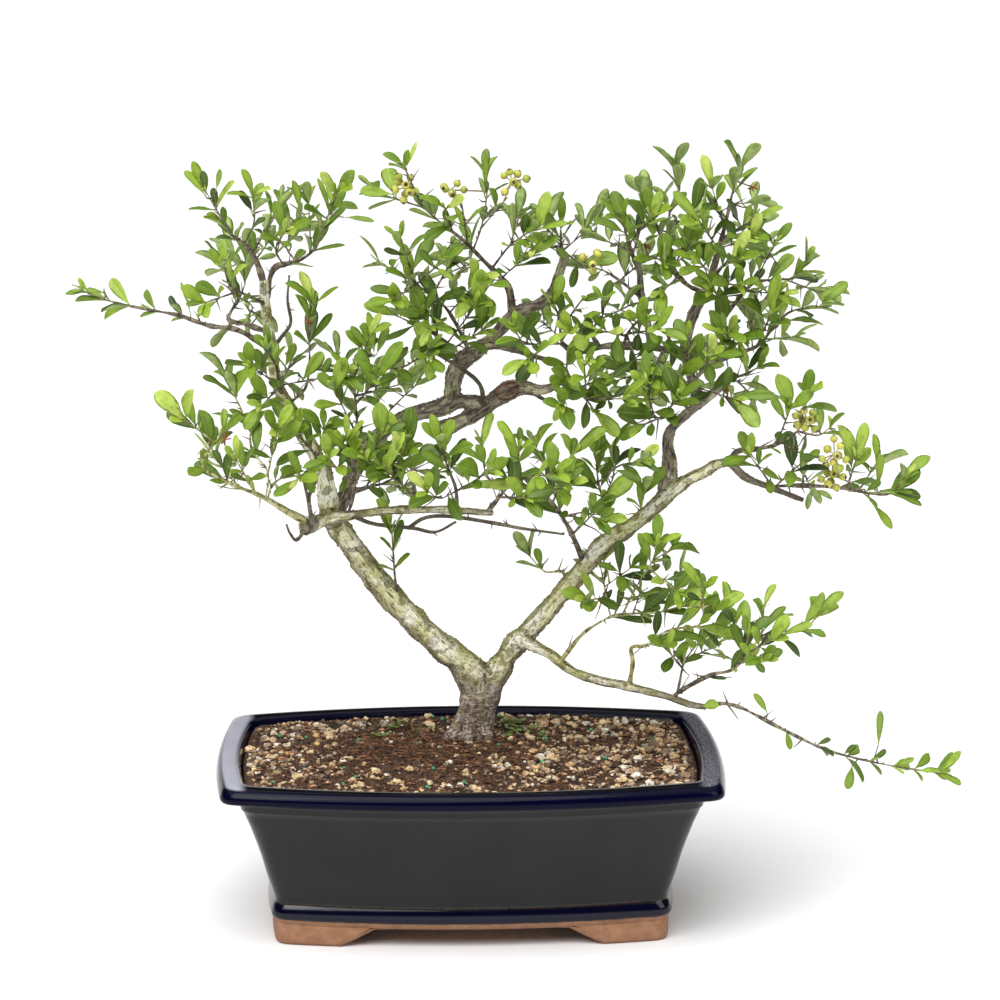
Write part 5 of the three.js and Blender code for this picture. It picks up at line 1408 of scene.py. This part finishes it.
leaf, tree, where = start_material("leaf")
tone, rib, tip, under = (mark(tree, name) for name in ("tone", "rib", "tip", "under"))
green = ramp(tone, [
    (0, "2e3c12"), (0.22, "4a6218"), (0.45, "6e8a25"), (0.68, "8ea734"), (0.86, "a4ba49"), (1, "bcc867"),
])
mottle = cloud(tree, where, 5, 4)
green = (mottle.between(0.4, 0.7) * 0.4).blend(green, tint("466320"))
midrib = 1 - rib.between(0.0, 0.11)
green = (midrib * 0.24).blend(green, tint("bccb74"))
green = ((1 - tip.between(0.0, 0.14)) * 0.7).blend(green, tint("8c9a48"))
pale = mottle.between(0.35, 0.65).blend(tint("7f9650"), tint("a3b26e"))
back = under.between(0.55, 0.95)
dry = mottle.between(0.35, 0.65).blend(tint("6e3523"), tint("b27a52"))
is_dry = 1 - tone.between(-0.6, -0.3)
veins = cloud(tree, where, 1.1, 2)
finish_material(
    leaf,
    Base_Color=is_dry.blend(back.blend(green, pale), dry),
    Roughness=0.36 + back * 0.3 + mottle * 0.1,
    Specular_IOR_Level=0.36,
    Normal=relief(tree, veins + midrib * -0.6, 0.3, 0.5),
    Subsurface_Weight=0.1,
    Subsurface_Radius=(0.3, 0.8, 0.15),
    Subsurface_Scale=0.001,
)

shoot, tree, where = start_material("young_shoots")
tone, grain = mark(tree, "tone"), cloud(tree, where, 2.6, 4)
patch = cloud(tree, where, 7, 4)
stemmed = patch.between(0.42, 0.58).blend(tint("5f5346"), tint("93886f"))
stemmed = (grain.between(0.44, 0.58) * 0.85).blend(stemmed, tint("3a2e25"))
pale_bark = patch.between(0.4, 0.6).blend(tint("93914f"), tint("c8c493"))
pale_bark = (grain.between(0.5, 0.6) * 0.85).blend(pale_bark, tint("4c4025"))
stemmed = mark(tree, "pale").blend(stemmed, pale_bark)
fresh = grain.between(0.4, 0.6).blend(tint("8f9a48"), tint("7a5f3c"))
stemmed = tone.between(0.25, 0.95).blend(stemmed, fresh)
finish_material(
    shoot,
    Base_Color=stemmed,
    Roughness=0.6 + grain * 0.2,
    Normal=relief(tree, cloud(tree, where, 0.9, 4), 0.3, 0.7),
)

# Each bunch of berries: the spray that it hangs on, its middle, and how many berries the plain solid has
# and how many there are
BUNCHES = {
    "berries_top_left": ("spray_top_middle", (-39, 1, 461), 6, 11),
    "berries_top_middle": ("spray_top_middle", (-10, 31, 456), 3, 5),
    "berries_top_right": ("spray_top_middle", (27, 16, 463), 4, 8),
    "berries_fork": ("spray_top_fork", (75, -1, 416), 3, 5),
    "berries_right_top": ("spray_right_upper", (206, -29, 321), 5, 11),
    "berries_right_middle": ("spray_right_upper", (221, -44, 303), 4, 9),
    "berries_right_low": ("spray_right_lower", (224, -8, 283), 5, 13),
}
PALE_SPRAYS = ("spray_low_inner", "spray_low_loop", "spray_trunk_side", "spray_trunk_bend", "spray_left_low")
LEAF_SIZES = {"spray_trailing": 0.72, "spray_far_left": 0.85, "spray_hanging_shoot": 0.85}
# Leaves that stand out from the rest, by spray: where the leaf starts and ends, its width and its shade
GROWN = {
    "spray_trunk_tuft": [
        ((-116, -5, 349), (-124, -8, 370), 10, 0.6), ((-114, 34, 345), (-107, 32, 360), 6, 0.6),
    ],
    "spray_dark": [
        ((-58, -18, 360), (-60, -20, 387), 8, 0.6), ((-57, -18, 361), (-50, -20, 380), 6, 0.5),
        ((-59, -18, 361), (-72, -21, 380), 7, 0.45), ((-60, -18, 360), (-65, -16, 381), 7, 0.55),
    ],
    "spray_top_middle": [
        ((11, 33, 456), (11, 31, 479), 7, 0.62), ((-38, -12, 475), (-32, -13, 490), 3, 0.85),
        ((-46, 20, 455), (-66, 16, 456), 9, 0.6), ((1, 16, 429), (-8, 13, 449), 7, 0.6),
    ],
    "spray_top_left_inner": [
        ((-76, -12, 445), (-58, -16, 445), 6, 0.55), ((-103, 23, 444), (-107, 20, 463), 6, 0.55),
        ((-84, -16, 447), (-90, -18, 469), 5, 0.5),
    ],
    "spray_inner_top": [
        ((107, 36, 420), (90, 33, 450), 11, 0.5), ((119, -4, 412), (118, -9, 434), 11, 0.5),
    ],
    "spray_limb_left": [((110, -20, 323), (109, -24, 344), 9, 0.75)],
    "spray_trailing": [
        ((252, -41, 119), (253, -43, 141), 8, 0.5), ((236, -42, 107), (233, -45, 92), 7, 0.55),
        ((293, -36, 101), (304, -38, 113), 6, 0.68), ((194, -44, 131), (196, -47, 118), 5, 0.5),
        ((183, -43, 140), (176, -45, 153), 5, 0.6), ((142, -35, 143), (152, -40, 146), 7, 0.62),
    ],
    "spray_top_left": [
        ((-160, -12, 459), (-170, -15, 474), 6, 0.6), ((-153, -12, 462), (-150, -13, 474), 4, 0.5),
    ],
    "spray_far_left": [
        ((-170, -4, 384), (-174, -6, 405), 3, 0.65), ((-221, -12, 399), (-231, -15, 403), 4, 0.55),
    ],
    "spray_band_end": [((30, -47, 295), (24, -50, 319), 8, 0.6)],
    "spray_band_front": [((-19, -61, 310), (-23, -65, 333), 7, 0.6)],
    "spray_elbow": [((-103, -32, 316), (-111, -35, 337), 6, 0.55)],
    "spray_right_lower": [
        ((248, -10, 267), (262, -13, 250), 6, 0.65), ((254, -12, 274), (273, -15, 276), 5, 0.6),
        ((252, -12, 275), (253, -15, 297), 7, 0.6),
    ],
    "spray_low_inner": [
        ((108, 18, 198), (122, 14, 204), 6, 0.55), ((81, -6, 204), (72, -10, 199), 7, 0.6),
        ((94, -3, 221), (81, -6, 228), 7, 0.5),
    ],
    "spray_crown_top": [((165, 23, 462), (178, 21, 471), 4, 0.6)],
    "spray_apex": [((132, 42, 460), (124, 40, 478), 4, 0.55)],
    "spray_right_arch": [((215, 6, 390), (223, 4, 397), 5, 0.5)],
    "spray_crown_right": [((205, 18, 406), (221, 17, 407), 3, 0.45)],
}
# Clusters of dry red-brown bud scales and old flower heads
DRY_SCALES = {
    "spray_inner_top": [(109, 18, 422)],
    "spray_trunk_upright": [(-98, -4, 379)],
    "spray_cross_tip": [(125, 28, 363)],
    "spray_limb_front": [(158, -23, 340), (166, -31, 331)],
    "spray_cross_middle": [(75, 4, 380)],
    "spray_left_low": [(-149, -37, 313)],
    "spray_crown_top": [(176, 22, 458)],
}
limb_routes = [[Vector(point[:3]) for point in limb] for limb in LIMBS.values()]
spray_routes = {}
for index, (name, routes) in enumerate(SPRAYS.items()):
    draw, look, pale = seeded_random(1000 + index), random.Random(index), float(name in PALE_SPRAYS)
    spray, stems = Shape(), []
    for order, points in enumerate(routes):
        route = [Vector(point[:3]) for point in points]
        route[0] = nearest_on(stems if order else limb_routes, route[0])
        sites = leaf_sites(route, order == 0, draw)
        thorn_share = 0.2 + 0.5 * draw()
        start_radius = TWIG_START_RADIUS if order else points[0][3]
        last = len(route) - 1
        knots = []
        for i, point in enumerate(route):
            knots.append((*point, 0.88 * lerp(start_radius, TWIG_TIP_RADIUS, i / last)))
        rings, lengths, _ = trace(knots, 2.5, 8 if order == 0 else 6, 0.6)
        ages = [(length / lengths[-1]) ** (5 if order == 0 else 3) for length in lengths]
        spray.add(*skin(rings), 1, tone=[age for age, ring in zip(ages, rings) for _ in ring], pale=pale)
        for spike in range(1 + (len(route) > 4)):
            share = thorn_share if spike == 0 else look.uniform(0.1, 0.9)
            is_plain = spike == 0 and order % THORN_STEP == THORN_STEP - 1
            turns = [draw() if is_plain else look.random() for _ in range(3)]
            point, heading = along(route, share)
            out = square_to(Vector((turns[0] - 0.5, turns[1] - 0.5, turns[2] - 0.3)), heading)
            out = (out + 0.4 * heading).normalized() * THORN_LENGTH * look.uniform(0.6, 1)
            thorn = [point + out * at for at, _ in THORN_PROFILE]
            add_tube(spray, thorn, [size for _, size in THORN_PROFILE], 5, 1, tone=0.1)
        for spur in range(round(lengths[-1] / 16)):
            start, heading = along(route, look.uniform(0.05, 0.8))
            out = (any_way(look, 0.3) + 0.6 * heading).normalized()
            end = start + out * (look.uniform(2, 5) if spur % 3 else look.uniform(7, 17))
            bend = start.lerp(end, 0.5) + Vector((0, 0, look.uniform(-1, 1)))
            add_tube(spray, [start, bend, end], [0.65, 0.45, 0.22], 5, 1, tone=0.0, pale=pale)
        for i, site in enumerate(sites):
            if hides_berries(*site[:2], site[3]):
                continue
            # Leaves at the tip of a twig are a little lighter; those near its foot, inside the crown, are
            # painted darker as shade
            lightness = clamp(look.gauss(0.46, 0.19) + 0.12 * (i < 3) - 0.14 * (i > 0.7 * len(sites)), 0, 1)
            add_leaf(spray, site, look, lightness, LEAF_SIZES.get(name, 1) * look.uniform(0.86, 1.08))
            if i < 3:
                point, direction, face, length, width, share = site
                tip_point, heading = along(route, 1)
                ahead = (direction + heading * 1.2).normalized()
                bud = (tip_point, ahead, square_to(face, ahead), length, width * 0.9, share)
                add_leaf(spray, bud, look, clamp(look.gauss(0.84, 0.1), 0, 1), look.uniform(0.3, 0.55))
        stems.append(route)
    for foot, tip_at, width, lightness in GROWN.get(name, ()):
        foot, direction = Vector(foot), Vector(tip_at) - Vector(foot)
        length, direction = direction.length, direction.normalized()
        face = square_to(Vector((0.2, -0.75, 0.6)), direction)
        add_leaf(spray, (foot, direction, face, length, width, 1), look, lightness)
        stalk = nearest_on(stems, foot)
        sag = stalk.lerp(foot, 0.5) - Vector((0, 0, 1))
        add_tube(spray, [stalk, sag, foot], [0.55, 0.45, 0.35], 5, 1, tone=0.3)
    for middle in DRY_SCALES.get(name, ()):
        middle = Vector(middle)
        stalk = nearest_on(stems, middle)
        add_tube(spray, [stalk, stalk.lerp(middle, 0.5), middle], [0.6, 0.5, 0.5], 5, 1, tone=0.0)
        for _ in range(7):
            direction = any_way(look, 0.3, -0.4).normalized()
            face = direction.orthogonal().normalized()
            scale = (middle, direction, face, look.uniform(2.8, 5), look.uniform(1.8, 2.8), 1)
            add_leaf(spray, scale, look, -1)
    piece = make_piece("leafy_" + name, spray.mesh("leafy_" + name), "leaf", leaf, shoot)
    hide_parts(name)
    spray_routes[name] = stems

# The berries: unripe firethorn berries in loose bunches, each on a short foot, yellow-green and taut, with
# the dry brown remains of the flower at the end.
BERRY_RADIUS, STALK_RADIUS = 2.7, 0.45
BERRY_SPACING, BUNCH_REACH, MOST_TRIES = 4.7, (4, 9.5), 4000
berry_points, berry_faces = ball(12, 16)

berry, tree, where = start_material("berry")
end, tone = mark(tree, "end"), mark(tree, "tone")
blotch = cloud(tree, where, 2.2, 4)
flesh = tone.blend(tint("94a038"), tint("c9c458"))
flesh = (blotch.between(0.5, 0.72) * 0.45).blend(flesh, tint("b08a44"))
flesh = end.between(0.8, 0.93).blend(flesh, tint("5b4423"))
finish_material(
    berry,
    Base_Color=flesh,
    Roughness=0.22 + blotch * 0.12,
    Normal=relief(tree, blotch, 0.15, 0.4),
    Subsurface_Weight=0.1,
    Subsurface_Radius=(0.5, 0.5, 0.2),
    Subsurface_Scale=0.001,
)
for index, (name, (spray_name, middle, plain_count, count)) in enumerate(BUNCHES.items()):
    draw, look = seeded_random(2000 + index), random.Random(500 + index)
    centre = Vector(middle)
    start = nearest_on(spray_routes[spray_name], centre)
    bunch = Shape()
    spots = []
    for i in range(plain_count):
        height = 1 - 1.5 * (i + 0.5) / plain_count
        turn, spread = math.radians(GOLDEN_ANGLE * i), math.sqrt(1 - height * height)
        out = Vector((spread * math.cos(turn), spread * math.sin(turn), height))
        spots.append(centre + out * (5.2 + 2 * draw()))
    tries = 0
    while len(spots) < count and tries < MOST_TRIES:
        tries += 1
        spot = centre + any_way(look, 0.2).normalized() * look.uniform(*BUNCH_REACH)
        if all((spot - other).length > BERRY_SPACING for other in spots):
            spots.append(spot)
    bunch.add(*skin(trace([(*start, 0.5), (*centre, STALK_RADIUS)], 3, 6)[0]), 1, tone=0.7)
    for spot in spots:
        out = (spot - centre).normalized()
        add_tube(bunch, [centre, spot], [0.3, STALK_RADIUS], 6, 1, tone=0.8)
        size, tone = BERRY_RADIUS * look.uniform(0.88, 1), look.random()
        across = out.orthogonal().normalized()
        aside = out.cross(across)
        points, ends = [], []
        for way in berry_points:
            dimple = 1 - 0.16 * math.exp(-((1 - way.z) / 0.06))
            points.append(spot + (across * way.x + aside * way.y + out * way.z * 0.92 * dimple) * size)
            ends.append(clamp(way.z, 0, 1))
        bunch.add(points, berry_faces, 0, end=ends, tone=tone)
        for cos, sin in circle(5):
            lean = across * cos + aside * sin
            foot = spot + out * size * 0.78 + lean * size * 0.2
            add_tube(bunch, [foot, foot + (out + 0.35 * lean) * size * 0.3], [0.42, 0.08], 4, 1, tone=0.0)
    piece = make_piece(name.replace("berries", "berry_bunch"), bunch.mesh(name), "berry", berry, shoot)
    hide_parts(name)

# The photographer's floor and lights: pale paper, one broad soft light from the upper left that reaches
# everything, two weaker panels, a white ceiling, and walls that are white below and dim above. The camera
# stands a little over two metres away.
FLOOR_RADIUS, FLOOR_DROP = 40000, 0.2
table = Shape()
corners = [(cos * FLOOR_RADIUS, sin * FLOOR_RADIUS, -FLOOR_DROP) for cos, sin in circle(64)]
table.add(corners, [tuple(range(64))])
floor = add_object("floor", table.mesh("floor"))
paper, tree, where = start_material("paper")
finish_material(paper, Base_Color=cloud(tree, where, 60).blend(tint("f2f2f2"), tint("f5f5f5")), Roughness=0.8)
floor.data.materials.append(paper)
floor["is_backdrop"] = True


def facing(way):
    """The turn of a lamp or a camera that looks a given way"""
    return way.to_track_quat("-Z", "Y").to_euler()


def soft_light(name, spot, target, size, power):
    """A square panel of light at one place that faces another"""
    light = bpy.data.lights.new(name, "AREA")
    light.shape, light.size = "SQUARE", size
    light.energy = power
    lamp = add_object(name, light)
    lamp.location = place([spot])[0]
    lamp.rotation_euler = facing(Vector(target) - Vector(spot))


soft_light("left_panel", (-1100, -1200, 1500), (0, 0, 250), 1.0, 12)
soft_light("right_panel", (1500, -900, 1000), (0, 0, 200), 0.9, 7)
broad = bpy.data.lights.new("broad_light", "SUN")
broad.energy, broad.angle = 2.55, math.radians(55)
add_object("broad_light", broad).rotation_euler = facing(Vector((0.25, 0.62, -1)))
room = bpy.data.worlds.new("room")
room.use_nodes = True
height = height_of(room.node_tree, Wire.node(room.node_tree, "TexCoord", {}, {}, "Generated"))
walls = ramp(height, [
    (0, "e4e4e4"), (0.1, "e4e4e4"), (0.17, "2a2a2a"), (0.6, "2a2a2a"), (0.84, "f6f6f6"), (1, "ffffff"),
])
backdrop = room.node_tree.nodes["Background"].inputs
Wire.join(room.node_tree, walls, backdrop["Color"])
backdrop["Strength"].default_value = 1.35
bpy.context.scene.world = room
bpy.context.scene.view_settings.view_transform = "Standard"

CAMERA_SPOT = (-54.8, -2313.1, 743.6)
CAMERA_TURN, CAMERA_TILT = math.radians(1.83), math.radians(11.64)
lens = bpy.data.cameras.new("camera")
lens.lens, lens.sensor_width, lens.sensor_height = 137.3, 36, 36
lens.sensor_fit = "HORIZONTAL"
camera = add_object("camera", lens)
camera.location = place([CAMERA_SPOT])[0]
level = math.cos(CAMERA_TILT)
camera.rotation_euler = facing(
    Vector((math.sin(CAMERA_TURN) * level, math.cos(CAMERA_TURN) * level, -math.sin(CAMERA_TILT)))
)
bpy.context.scene.camera = camera

seen_low, seen_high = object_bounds()
sizes = [[list(corner) for corner in box] for box in ((plain_low, plain_high), (seen_low, seen_high))]
